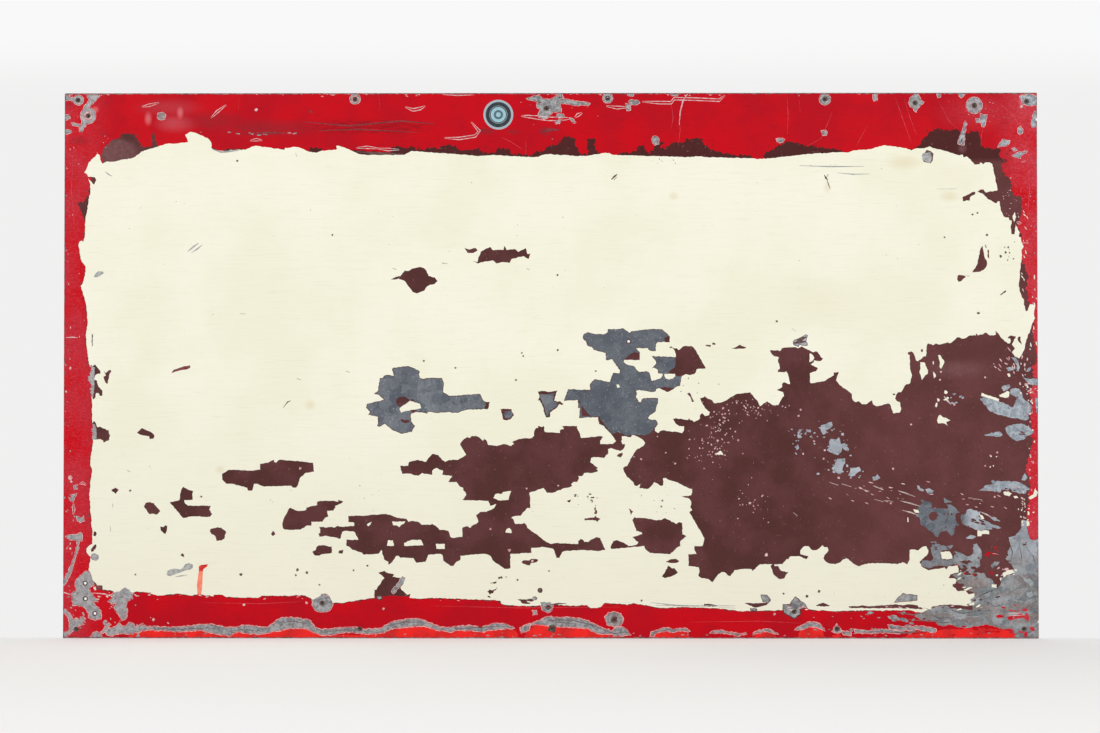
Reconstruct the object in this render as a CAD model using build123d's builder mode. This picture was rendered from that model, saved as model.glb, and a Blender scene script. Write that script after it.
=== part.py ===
"""Painted sheet-metal advertising sign, nailed up many times over, with one round adhesive label.

Frame: the sign stands upright, X along its width, Z up its height, and its painted front faces -Y.
The origin is the centre of the flat back face. All sizes are in millimetres.
"""

from build123d import *
import os

# Sheet blank
sheet_width = 1270.0
sheet_height = 711.2
sheet_thickness = 0.7
corner_radius = 1.2
shear_bevel = 0.25  # the cut edges are turned over at the front, where the shear's blade entered

# Nail holes: the metal round each hole is drawn back into a dish
nail_hole_diameter = 3.6
shallow_reach, shallow_depth = 5.0, 0.5
deep_reach, deep_depth = 9.0, 1.1
lip_wall = 0.4  # round a deep hole the torn metal stands up behind the sheet as a short lip
lip_height = 0.6

# Nail holes in line with each other: two along the top, two along the bottom, two down the left side
top_row_inset = 8.0
top_row_left_inset = 379.9
top_row_right_inset = 276.6
bottom_row_inset = 12.3
bottom_row_left_inset = 387.0
bottom_row_right_inset = 261.9
left_column_inset = 17.3
left_column_top_inset = 9.0
left_column_bottom_inset = 11.6

# The other nail holes near the sides: inset from the side edge, inset from the top or bottom edge
top_right_nail = (13.4, 11.2)
bottom_right_nail = (19.1, 12.3)
top_left_deep = [(30.7, 29.4)]
top_right_deep = [(81.4, 16.6), (158.8, 13.0)]
bottom_left_deep = [(28.6, 71.4), (29.0, 51.2), (41.4, 32.0), (337.7, 45.7)]
bottom_right_deep = [(317.8, 34.7)]

# Holes near the middle of the width: offset from the centre line, in from the top or bottom
top_middle_shallow = [(-5.1, 20.0), (74.9, 7.0)]
bottom_middle_shallow = [(-13.4, 62.4), (2.0, 12.5)]
bottom_middle_deep = [(-2.8, 40.2), (83.3, 24.2)]
field_hole = (102.1, 31.0)  # from the centre of the sheet

# Half-round notches torn out of the right edge: radius, and distance from the nearer end of that edge
torn_notch_radius = 1.9
torn_notch_inset = 35.0
edge_nick_radius = 1.2
edge_nick_inset = 22.0

# Knocks that left a shallow round hollow without a hole: reach, depth
knock_top_left = (16.0, 0.9)
knock_top_left_inset = (129.0, 27.0)
knock_top_right = (7.0, 0.5)
knock_top_right_inset = (20.5, 22.6)
knock_field = (5.0, 0.6)
knock_field_inset = (142.5, 83.5)
knock_right = (24.0, 1.2)
knock_right_inset = (104.0, 350.0)

# Round label
label_diameter = 39.0
label_thickness = 0.25
label_offset = -67.9  # from the centre line
label_inset = 28.4  # its centre, below the top edge

LEFT, RIGHT = -1, 1
BOTTOM, TOP = -1, 1
nail_radius = nail_hole_diameter / 2
lip_radius = nail_radius + lip_wall
front_face = -sheet_thickness


def from_corner(side, end, inset):
    """Place a point by its insets from one side edge and from the top or bottom edge."""
    return side * (sheet_width / 2 - inset[0]), end * (sheet_height / 2 - inset[1])


def from_centre_line(end, place):
    """Place a point by its offset from the centre line and its inset from the top or bottom edge."""
    return place[0], end * (sheet_height / 2 - place[1])


def section_plane(place):
    """The plane through a point of the sheet that holds a section: x along +X, y towards the back."""
    return Plane(origin=(place[0], 0, place[1]), x_dir=(1, 0, 0), z_dir=(0, 0, 1))


def sheet_axis(place):
    """The line square to the sheet through one of its points."""
    return Axis((place[0], 0, place[1]), (0, 1, 0))


shallow_nails = (
    [
        from_corner(LEFT, TOP, (top_row_left_inset, top_row_inset)),
        from_corner(RIGHT, TOP, (top_row_right_inset, top_row_inset)),
        from_corner(LEFT, BOTTOM, (bottom_row_left_inset, bottom_row_inset)),
        from_corner(RIGHT, BOTTOM, (bottom_row_right_inset, bottom_row_inset)),
        from_corner(LEFT, TOP, (left_column_inset, left_column_top_inset)),
        from_corner(LEFT, BOTTOM, (left_column_inset, left_column_bottom_inset)),
        from_corner(RIGHT, TOP, top_right_nail),
        from_corner(RIGHT, BOTTOM, bottom_right_nail),
        field_hole,
    ]
    + [from_centre_line(TOP, place) for place in top_middle_shallow]
    + [from_centre_line(BOTTOM, place) for place in bottom_middle_shallow]
)
deep_nails = (
    [from_corner(LEFT, TOP, inset) for inset in top_left_deep]
    + [from_corner(RIGHT, TOP, inset) for inset in top_right_deep]
    + [from_corner(LEFT, BOTTOM, inset) for inset in bottom_left_deep]
    + [from_corner(RIGHT, BOTTOM, inset) for inset in bottom_right_deep]
    + [from_centre_line(BOTTOM, place) for place in bottom_middle_deep]
)

knocks = [
    (from_corner(LEFT, TOP, knock_top_left_inset), knock_top_left),
    (from_corner(RIGHT, TOP, knock_top_right_inset), knock_top_right),
    (from_corner(RIGHT, TOP, knock_field_inset), knock_field),
    (from_corner(RIGHT, TOP, knock_right_inset), knock_right),
]
notches = [
    ((sheet_width / 2, sheet_height / 2 - torn_notch_inset), torn_notch_radius),
    ((sheet_width / 2, edge_nick_inset - sheet_height / 2), edge_nick_radius),
]

# The sheet: one piece, cut, nailed through and knocked about
with BuildPart() as sign_sheet:
    with BuildSketch(Plane.XZ):
        RectangleRounded(sheet_width, sheet_height, corner_radius)
    extrude(amount=sheet_thickness)
    chamfer(sign_sheet.faces().sort_by(Axis.Y)[0].edges(), shear_bevel)
    with BuildSketch(Plane.XZ):
        for place, radius in notches:
            with Locations(place):
                Circle(radius)
        with Locations(shallow_nails):
            Circle(shallow_reach)
        with Locations(deep_nails):
            Circle(deep_reach)
        for place, (reach, depth) in knocks:
            with Locations(place):
                Circle(reach)
    extrude(amount=sheet_thickness, mode=Mode.SUBTRACT)

    # A shallow nail hole is a dished ring, tangent to the flat sheet and as thick as it
    for place in shallow_nails:
        with BuildSketch(section_plane(place)):
            with BuildLine():
                bottom = front_face + shallow_depth
                TangentArc((shallow_reach, front_face), (nail_radius, bottom), tangent=(-1, 0))
                Line((nail_radius, bottom), (nail_radius, shallow_depth))
                TangentArc((shallow_reach, 0), (nail_radius, shallow_depth), tangent=(-1, 0))
                Line((shallow_reach, 0), (shallow_reach, front_face))
            make_face()
        revolve(axis=sheet_axis(place))

    # A deep one also has the torn metal standing round its bore at the back
    for place in deep_nails:
        with BuildSketch(section_plane(place)):
            with BuildLine():
                bottom = front_face + deep_depth
                lip_top = deep_depth + lip_height
                TangentArc((deep_reach, front_face), (nail_radius, bottom), tangent=(-1, 0))
                Polyline(
                    (nail_radius, bottom),
                    (nail_radius, lip_top),
                    (lip_radius, lip_top),
                    (lip_radius, deep_depth),
                )
                TangentArc((deep_reach, 0), (lip_radius, deep_depth), tangent=(-1, 0))
                Line((deep_reach, 0), (deep_reach, front_face))
            make_face()
        revolve(axis=sheet_axis(place))

    # Each knock is a hollow tangent to the flat at its rim and level at its middle
    for place, (reach, depth) in knocks:
        with BuildSketch(section_plane(place)):
            with BuildLine():
                for face in (front_face, 0):
                    TangentArc((reach, face), (reach / 2, face + depth / 2), tangent=(-1, 0))
                    TangentArc((0, face + depth), (reach / 2, face + depth / 2), tangent=(1, 0))
                Line((reach, front_face), (reach, 0))
                Line((0, front_face + depth), (0, depth))
            make_face()
        revolve(axis=sheet_axis(place))

# The label: a thin disc stuck to the front of the sheet
with BuildPart() as round_label:
    with BuildSketch(Plane.XZ.offset(sheet_thickness)):
        with Locations((label_offset, sheet_height / 2 - label_inset)):
            Circle(label_diameter / 2)
    extrude(amount=label_thickness)

os.makedirs("parts", exist_ok=True)
sign_sheet.part.label = "sign_sheet"
round_label.part.label = "round_label"
export_step(sign_sheet.part, "parts/sign_sheet.step")
export_step(round_label.part, "parts/round_label.step")
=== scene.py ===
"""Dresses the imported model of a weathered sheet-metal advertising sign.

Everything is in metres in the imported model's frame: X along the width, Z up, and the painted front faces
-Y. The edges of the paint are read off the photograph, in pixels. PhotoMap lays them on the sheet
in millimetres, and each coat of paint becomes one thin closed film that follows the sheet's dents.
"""

import logging
import math
from collections.abc import Iterable, Sequence
from dataclasses import dataclass, field
from enum import Enum
from functools import cached_property, reduce
from operator import or_

import bmesh
import bpy
import numpy as np
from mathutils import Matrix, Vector
from mathutils.geometry import delaunay_2d_cdt


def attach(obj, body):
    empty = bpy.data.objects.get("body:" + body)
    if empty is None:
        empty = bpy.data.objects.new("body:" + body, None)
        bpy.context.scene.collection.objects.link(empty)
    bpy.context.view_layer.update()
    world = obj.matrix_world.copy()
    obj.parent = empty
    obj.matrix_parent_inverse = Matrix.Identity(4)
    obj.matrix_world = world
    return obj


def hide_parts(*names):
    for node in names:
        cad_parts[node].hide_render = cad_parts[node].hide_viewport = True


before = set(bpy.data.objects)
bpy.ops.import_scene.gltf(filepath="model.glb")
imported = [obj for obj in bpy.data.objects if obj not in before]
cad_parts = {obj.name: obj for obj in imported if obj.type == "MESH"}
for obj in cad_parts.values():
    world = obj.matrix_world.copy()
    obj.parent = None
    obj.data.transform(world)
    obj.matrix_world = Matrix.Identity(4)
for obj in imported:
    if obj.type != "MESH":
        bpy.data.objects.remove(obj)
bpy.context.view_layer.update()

Points = Sequence[tuple[float, float]]
Outline = tuple[float, ...]
Triple = tuple[float, float, float]
Colour = Triple
MM = 0.001
SHARP_ANGLE = math.radians(40)
MERGE_REACH = 1e-4
TEST_BATCH = 1500
BLOT_CORNERS = 11
FLECK_CORNERS = 7
STROKE_TIP = 0.16
LOG = logging.getLogger("sign")


class Slot(Enum):
    """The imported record's material slots that the new pieces stand for."""

    ZINC = "zinc_coated_sheet"
    UNDERCOAT = "undercoat"
    OLD_RED = "old_red_paint"
    RED = "red_paint"
    CREAM = "cream_paint"


class Layer(Enum):
    """Where the front of each coat lies, in millimetres along Y."""

    METAL = -0.70
    STAIN = -0.72
    UNDERCOAT = -0.75
    OLD_RED = -0.78
    RED = -0.80
    ON_RED = -0.83
    CREAM = -0.86
    ON_CREAM = -0.90
    TOP_MARK = -0.93


# Places


@dataclass(frozen=True)
class PhotoMap:
    """Lays a pixel of the photograph on the sheet, by the pixels of the sheet's four corners."""

    corners: Points = ((65.6, 93.6), (1037.7, 92.2), (1038.1, 638.2), (62.2, 638.7))
    width: float = 1270.0
    height: float = 711.2

    def matrix(self) -> np.ndarray:
        """Work out the map.

        Returns:
            The 3 by 3 matrix from pixels to millimetres from the sheet's centre.
        """
        half_x, half_z = self.width / 2, self.height / 2
        targets = ((-half_x, half_z), (half_x, half_z), (half_x, -half_z), (-half_x, -half_z))
        rows, values = [], []
        for (u, v), (x, z) in zip(self.corners, targets):
            rows.append([u, v, 1, 0, 0, 0, -u * x, -v * x])
            rows.append([0, 0, 0, u, v, 1, -u * z, -v * z])
            values += [x, z]
        return np.append(np.linalg.solve(np.array(rows), np.array(values)), 1).reshape(3, 3)

    def place(self, points: Points) -> np.ndarray:
        """Lay pixels on the sheet.

        Args:
            points: Pixels of the photograph.

        Returns:
            One row of x and z in millimetres for each pixel.
        """
        rows = np.column_stack([np.array(points, float), np.ones(len(points))]) @ self.matrix().T
        return rows[:, :2] / rows[:, 2:]

    def pitch(self) -> float:
        """Give the size of a pixel on the sheet, in millimetres."""
        return self.width / (self.corners[1][0] - self.corners[0][0])


PHOTO = PhotoMap()


def trace(*numbers: float) -> np.ndarray:
    """Lay an outline, given as across and down in pixels by turns, on the sheet in millimetres."""
    return PHOTO.place(np.reshape(numbers, (-1, 2)))


def ring(centre: Sequence[float], radius: float, count: int = 24, tall: float = 1.0) -> np.ndarray:
    """Make a round loop.

    Args:
        centre: Its centre, x and z in millimetres.
        radius: Its radius along X.
        count: How many points it has.
        tall: Its height over its width.

    Returns:
        The loop's points in millimetres, anticlockwise as seen from the front.
    """
    turn = np.arange(count) * (2 * math.pi / count)
    return np.column_stack([centre[0] + radius * np.cos(turn), centre[1] + radius * tall * np.sin(turn)])


def blot(centre: tuple[float, float], radius: float) -> np.ndarray:
    """Make a small uneven round patch, the same one each time.

    Args:
        centre: Its centre, in pixels.
        radius: Its mean radius, in pixels.

    Returns:
        The patch's outline in millimetres.
    """
    chance = np.random.default_rng(int(centre[0] * 7 + centre[1] * 13))
    turn = np.arange(BLOT_CORNERS) * (2 * math.pi / BLOT_CORNERS)
    reach = radius * chance.uniform(0.72, 1.25, BLOT_CORNERS)
    offsets = np.column_stack([reach * np.cos(turn), reach * np.sin(turn)])
    return PHOTO.place(offsets + np.array(centre))


def stroke(width: float, *numbers: float) -> np.ndarray:
    """Make the outline of a scratch or line that tapers at its ends.

    Args:
        width: Its width in pixels at its middle.
        numbers: Its run, as across and down in pixels by turns.

    Returns:
        The outline in millimetres.
    """
    run = np.reshape(numbers, (-1, 2)).astype(float)
    along = np.gradient(run, axis=0)
    along /= np.linalg.norm(along, axis=1)[:, None]
    across = np.column_stack([-along[:, 1], along[:, 0]])
    share = np.full(len(run), 0.5)
    share[0] = share[-1] = STROKE_TIP
    side = across * share[:, None] * width
    return PHOTO.place(np.vstack([run + side, (run - side)[::-1]]))


def grow(loop: np.ndarray, reach: float) -> np.ndarray:
    """Push a loop outwards.

    Args:
        loop: The loop's points in millimetres.
        reach: How far, inwards if it is below 0.

    Returns:
        The new loop.
    """
    along = np.roll(loop, -1, axis=0) - loop
    turned = np.sign(np.sum(loop[:, 0] * along[:, 1] - loop[:, 1] * along[:, 0]))
    normal = turned * np.column_stack([along[:, 1], -along[:, 0]])
    normal /= np.maximum(np.linalg.norm(normal, axis=1), 1e-9)[:, None]
    corner = normal + np.roll(normal, 1, axis=0)
    return loop + 2 * reach * corner / np.maximum(np.sum(corner**2, axis=1), 1.0)[:, None]


def ragged(loop: np.ndarray, reach: float, step: float = 2.4) -> np.ndarray:
    """Break a loop's edges up into short uneven ones, the same way each time.

    Args:
        loop: The loop's points in millimetres.
        reach: How far the new points stray to either side.
        step: How far apart they are, about.

    Returns:
        The new loop.
    """
    chance = np.random.default_rng(int(abs(loop[0]).sum() * 10) + len(loop))
    parts = []
    for start, end in zip(loop, np.roll(loop, -1, axis=0)):
        run = end - start
        length = max(float(np.hypot(*run)), 1e-6)
        count = max(1, round(length / step))
        rows = start + run * (np.arange(count) / count)[:, None]
        stray = chance.uniform(-reach, reach, count - 1)
        rows[1:] += stray[:, None] * np.array([run[1], -run[0]]) / length
        parts.append(rows)
    return np.vstack(parts)


@dataclass(frozen=True)
class Cluster:
    """A patch of small scattered flecks, in pixels of the photograph."""

    centre: tuple[float, float]
    spread: tuple[float, float]
    count: int
    size: float = 0.6
    long: float = 1.0
    tilt: float = 0.0

    def flecks(self) -> list[np.ndarray]:
        """Scatter the flecks, the same ones each time.

        Returns:
            Their outlines in millimetres.
        """
        chance = np.random.default_rng(int(self.centre[0] * 31 + self.centre[1]))
        turn = np.arange(FLECK_CORNERS) * (2 * math.pi / FLECK_CORNERS)
        found = []
        for u, v in chance.normal(self.centre, np.array(self.spread) / 2, (self.count, 2)):
            reach = self.size * chance.uniform(0.5, 1.4) * chance.uniform(0.6, 1.3, FLECK_CORNERS)
            slant = math.radians(self.tilt + chance.uniform(-20, 20))
            along, across = reach * np.cos(turn) * self.long, reach * np.sin(turn)
            right = along * math.cos(slant) - across * math.sin(slant)
            down = along * math.sin(slant) + across * math.cos(slant)
            found.append(PHOTO.place(np.column_stack([u + right, v + down])))
        return found


def scatter(clusters: Iterable[Cluster]) -> list[np.ndarray]:
    """Scatter the flecks of a row of clusters, in millimetres."""
    return [loop for cluster in clusters for loop in cluster.flecks()]


@dataclass(frozen=True)
class Spot:
    """A soft oval place, in pixels: its middle, half width and height, fading part and strength."""

    centre: tuple[float, float]
    reach: tuple[float, float]
    soft: float = 0.9
    share: float = 1.0


def inside(points: np.ndarray, loop: np.ndarray) -> np.ndarray:
    """Test which points lie within a loop.

    Args:
        points: One row of x and z for each point.
        loop: The loop's points.

    Returns:
        One truth value for each point.
    """
    found = np.zeros(len(points), bool)
    near = np.flatnonzero(np.all((points >= loop.min(axis=0)) & (points <= loop.max(axis=0)), axis=1))
    start, end = loop, np.roll(loop, -1, axis=0)
    rise = end[:, 1] - start[:, 1]
    slope = (end[:, 0] - start[:, 0]) / np.where(rise == 0, 1, rise)
    for part in np.array_split(near, len(near) // TEST_BATCH + 1):
        x, z = points[part, :1], points[part, 1:]
        spans = (start[:, 1] > z) != (end[:, 1] > z)
        crossed = spans & (x < start[:, 0] + (z - start[:, 1]) * slope)
        found[part] = np.count_nonzero(crossed, axis=1) % 2 == 1
    return found


@dataclass
class Area:
    """An area built up of loops in order, each adding or cutting, and kept within a limit if it has one."""

    loops: list[tuple[np.ndarray, bool]] = field(default_factory=list)
    limit: np.ndarray | None = None

    def add(self, *loops: np.ndarray) -> "Area":
        """Add the insides of some loops."""
        self.loops += [(loop, True) for loop in loops]
        return self

    def cut(self, *loops: np.ndarray) -> "Area":
        """Cut out the insides of some loops."""
        self.loops += [(loop, False) for loop in loops]
        return self

    def turned(self) -> list[tuple[np.ndarray, bool]]:
        """Give the loops with adding and cutting swapped."""
        return [(loop, not adds) for loop, adds in self.loops]

    def holds(self, points: np.ndarray) -> np.ndarray:
        """Test which points the area holds.

        Args:
            points: One row of x and z for each point.

        Returns:
            One truth value for each point.
        """
        held = np.zeros(len(points), bool)
        for loop, adds in self.loops:
            held[inside(points, loop)] = adds
        return held if self.limit is None else held & inside(points, self.limit)


# The sheet's dents


class Dent(Enum):
    """The kinds of hollow in the sheet."""

    SHALLOW_NAIL = "shallow nail hole"
    DEEP_NAIL = "deep nail hole"
    KNOCK = "knock"


@dataclass(frozen=True)
class Hollow:
    """One round hollow in the sheet, in millimetres."""

    kind: Dent
    x: float
    z: float
    reach: float
    depth: float
    bore: float = 1.8

    def sink(self, away: np.ndarray) -> np.ndarray:
        """Work out how far the sheet is pushed back.

        Args:
            away: Distances from the hollow's middle.

        Returns:
            The push towards the back at each distance.
        """
        away = np.minimum(away, self.reach)
        if self.kind is Dent.KNOCK:
            half = self.reach / 2
            arc = (half**2 + (self.depth / 2) ** 2) / self.depth
            rim = arc - np.sqrt(arc**2 - np.minimum(self.reach - away, half) ** 2)
            middle = self.depth - arc + np.sqrt(arc**2 - np.minimum(away, half) ** 2)
            return np.where(away > half, rim, middle)
        run = self.reach - self.bore
        arc = (run**2 + self.depth**2) / (2 * self.depth)
        return arc - np.sqrt(arc**2 - np.minimum(self.reach - away, run) ** 2)

    def rings(self) -> np.ndarray:
        """Give the points that carry the hollow's curve, ring by ring.

        Returns:
            One row of x and z for each point.
        """
        knock = self.kind is Dent.KNOCK
        steps = max(5, round(self.reach / 3)) if knock else 5
        inner = 0.0 if knock else self.bore
        sizes = [self.reach + (inner - self.reach) * step / steps for step in range(steps)]
        loops = [ring((self.x, self.z), size, 24) for size in sizes]
        return np.vstack(loops + ([np.array([[self.x, self.z]])] if knock else []))


@dataclass
class Relief:
    """All the hollows of the sheet."""

    hollows: list[Hollow]
    longest_edge: float = 1.2

    def sink(self, points: np.ndarray) -> np.ndarray:
        """Give how far the sheet is pushed back at each point, in millimetres.

        Args:
            points: One row of x and z for each point.

        Returns:
            One push towards the back for each point.
        """
        total = np.zeros(len(points))
        for hollow in self.hollows:
            away = np.hypot(points[:, 0] - hollow.x, points[:, 1] - hollow.z)
            total = np.maximum(total, hollow.sink(away))
        return total

    def refine(self, loop: np.ndarray) -> np.ndarray:
        """Divide a loop's long edges where they cross a hollow.

        Args:
            loop: The loop's points.

        Returns:
            The loop with more points inside the hollows.
        """
        points = []
        for start, end in zip(loop, np.roll(loop, -1, axis=0)):
            points.append(start)
            length = float(np.hypot(*(end - start)))
            for hollow in self.hollows if length > self.longest_edge else []:
                middle = np.array([hollow.x, hollow.z])
                share = np.clip(np.dot(middle - start, end - start) / length**2, 0, 1)
                if np.hypot(*(start + share * (end - start) - middle)) < hollow.reach:
                    count = math.ceil(length / self.longest_edge)
                    points += [start + (end - start) * step / count for step in range(1, count)]
                    break
        return np.array(points)


def sheet_hollows(width: float = 1270.0, height: float = 711.2) -> list[Hollow]:
    """Place the sheet's nail holes and knocks.

    Args:
        width: The sheet's width in millimetres.
        height: The sheet's height in millimetres.

    Returns:
        All the hollows.
    """
    left, right = -width / 2, width / 2
    low, high = -height / 2, height / 2
    shallow_dish, deep_dish = (5.0, 0.5), (9.0, 1.1)
    shallow = [
        (left + 379.9, high - 8.0), (right - 276.6, high - 8.0), (left + 387.0, low + 12.3),
        (right - 261.9, low + 12.3), (left + 17.3, high - 9.0), (left + 17.3, low + 11.6),
        (right - 13.4, high - 11.2), (right - 19.1, low + 12.3), (102.1, 31.0),
        (-5.1, high - 20.0), (74.9, high - 7.0), (-13.4, low + 62.4), (2.0, low + 12.5),
    ]
    deep = [
        (left + 30.7, high - 29.4), (right - 81.4, high - 16.6), (right - 158.8, high - 13.0),
        (left + 28.6, low + 71.4), (left + 29.0, low + 51.2), (left + 41.4, low + 32.0),
        (left + 337.7, low + 45.7), (right - 317.8, low + 34.7), (-2.8, low + 40.2), (83.3, low + 24.2),
    ]
    knocks = [
        (left + 129.0, high - 27.0, 16.0, 0.9), (right - 20.5, high - 22.6, 7.0, 0.5),
        (right - 142.5, high - 83.5, 5.0, 0.6), (right - 104.0, high - 350.0, 24.0, 1.2),
    ]
    return (
        [Hollow(Dent.SHALLOW_NAIL, x, z, *shallow_dish) for x, z in shallow]
        + [Hollow(Dent.DEEP_NAIL, x, z, *deep_dish) for x, z in deep]
        + [Hollow(Dent.KNOCK, *knock) for knock in knocks]
    )


RELIEF = Relief(sheet_hollows())


# Meshes


@dataclass
class Mesh:
    """Gathers the vertices and faces of one piece, in millimetres."""

    vertices: list[np.ndarray] = field(default_factory=list)
    faces: list[tuple[int, ...]] = field(default_factory=list)
    count: int = 0

    def put(self, rows: np.ndarray, faces: Iterable[Sequence[int]]) -> None:
        """Add a patch of faces.

        Args:
            rows: The patch's vertices.
            faces: Its faces, by the numbers of its own vertices.
        """
        self.vertices.append(rows)
        self.faces += [tuple(int(i) + self.count for i in face) for face in faces]
        self.count += len(rows)

    def build(self, name: str, material: bpy.types.Material, slot: Slot) -> bpy.types.Object:
        """Make the object and let it ride with the sheet.

        Args:
            name: The piece's name.
            material: Its finish.
            slot: Not used.

        Returns:
            The new object.
        """
        data = bpy.data.meshes.new(name)
        data.from_pydata(np.vstack(self.vertices) * MM, [], self.faces)
        data.polygons.foreach_set("use_smooth", [True] * len(self.faces))
        data.materials.append(material)
        data.validate()
        data.set_sharp_from_angle(angle=SHARP_ANGLE)
        piece = bpy.data.objects.new(name, data)
        bpy.context.scene.collection.objects.link(piece)
        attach(piece, "root")
        LOG.info("%s: %d faces", name, len(self.faces))
        return piece


def triangulate(area: Area) -> tuple[np.ndarray, np.ndarray]:
    """Fill an area with triangles that follow the hollows.

    Args:
        area: The area to fill.

    Returns:
        The points, and the triangles by their numbers, anticlockwise as seen from the front.
    """
    loops = [RELIEF.refine(loop) for loop, _ in area.loops]
    loops += [] if area.limit is None else [area.limit]
    points, edges = [], []
    for loop in loops:
        first = len(points)
        points += [Vector(row) for row in loop]
        edges += [(first + i, first + (i + 1) % len(loop)) for i in range(len(loop))]
    low = np.vstack(loops).min(axis=0)
    high = np.vstack(loops).max(axis=0)
    for hollow in RELIEF.hollows:
        if np.all(np.array([hollow.x, hollow.z]) > low) and np.all(np.array([hollow.x, hollow.z]) < high):
            points += [Vector(row) for row in hollow.rings()]
    found = delaunay_2d_cdt(points, edges, [], 0, MERGE_REACH, False)
    places = np.array([tuple(place) for place in found[0]])
    triangles = np.array([tuple(face) for face in found[2]])
    kept = triangles[area.holds(places[triangles].mean(axis=1))]
    used, numbers = np.unique(kept, return_inverse=True)
    return places[used], numbers.reshape(-1, 3)


def film(area: Area, layer: Layer, under: float = 0.005) -> Mesh:
    """Make one closed thin film of paint.

    Args:
        area: The area it covers.
        layer: Where its front lies.
        under: How far above the bare metal its back lies, in millimetres.

    Returns:
        The film's mesh.
    """
    places, triangles = triangulate(area)
    sink = RELIEF.sink(places)
    front = np.column_stack([places[:, 0], layer.value + sink, places[:, 1]])
    back = front.copy()
    back[:, 1] = Layer.METAL.value - under + sink
    total = len(places)
    seen = {(int(t[i]), int(t[(i + 1) % 3])) for t in triangles for i in range(3)}
    rim = [(a, b) for a, b in seen if (b, a) not in seen]
    mesh = Mesh()
    mesh.put(np.vstack([front, back]), triangles)
    mesh.faces += [(int(c) + total, int(b) + total, int(a) + total) for a, b, c in triangles]
    mesh.faces += [(b, a, a + total, b + total) for a, b in sorted(rim)]
    return mesh


# Shader tools


def srgb(red: float, green: float, blue: float) -> Colour:
    """Turn a colour of 0 to 255 as seen on a screen into the linear one that a shader takes."""
    parts = [part / 255 for part in (red, green, blue)]
    return tuple(p / 12.92 if p <= 0.04045 else ((p + 0.055) / 1.055) ** 2.4 for p in parts)


class Value:
    """A number that changes over a surface: arithmetic on it adds Math nodes."""

    def __init__(self, board: "Board", socket: bpy.types.NodeSocket) -> None:
        """Wrap a socket of a board."""
        self.board = board
        self.socket = socket

    def _math(self, operation: str, *terms: object) -> "Value":
        """Add a Math node for one operation on some terms."""
        node = self.board.node("ShaderNodeMath", {"operation": operation}, dict(enumerate(terms)))
        return Value(self.board, node.outputs[0])

    def __add__(self, other: object) -> "Value":
        """Add."""
        return self._math("ADD", self, other)

    def __radd__(self, other: object) -> "Value":
        """Add, from the right."""
        return self._math("ADD", other, self)

    def __sub__(self, other: object) -> "Value":
        """Subtract."""
        return self._math("SUBTRACT", self, other)

    def __rsub__(self, other: object) -> "Value":
        """Subtract this from a number."""
        return self._math("SUBTRACT", other, self)

    def __mul__(self, other: object) -> "Value":
        """Multiply."""
        return self._math("MULTIPLY", self, other)

    def __rmul__(self, other: object) -> "Value":
        """Multiply, from the right."""
        return self._math("MULTIPLY", other, self)

    def __or__(self, other: object) -> "Value":
        """Take the larger."""
        return self._math("MAXIMUM", self, other)

    def step(self, low: float, high: float, start: float = 0.0, end: float = 1.0) -> "Value":
        """Ease from one number to another as this value goes from low to high.

        Args:
            low: Where the change starts.
            high: Where it ends.
            start: The number below low.
            end: The number above high.

        Returns:
            The eased value.
        """
        settings = {"interpolation_type": "SMOOTHSTEP"}
        inputs = {"Value": self, "From Min": low, "From Max": high, "To Min": start, "To Max": end}
        return Value(self.board, self.board.node("ShaderNodeMapRange", settings, inputs).outputs[0])

    def band(self, low: float, high: float, soft: float) -> "Value":
        """Mask the values between two numbers, with soft ends inside them."""
        return self.step(low, low + soft) * self.step(high, high - soft)


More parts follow.
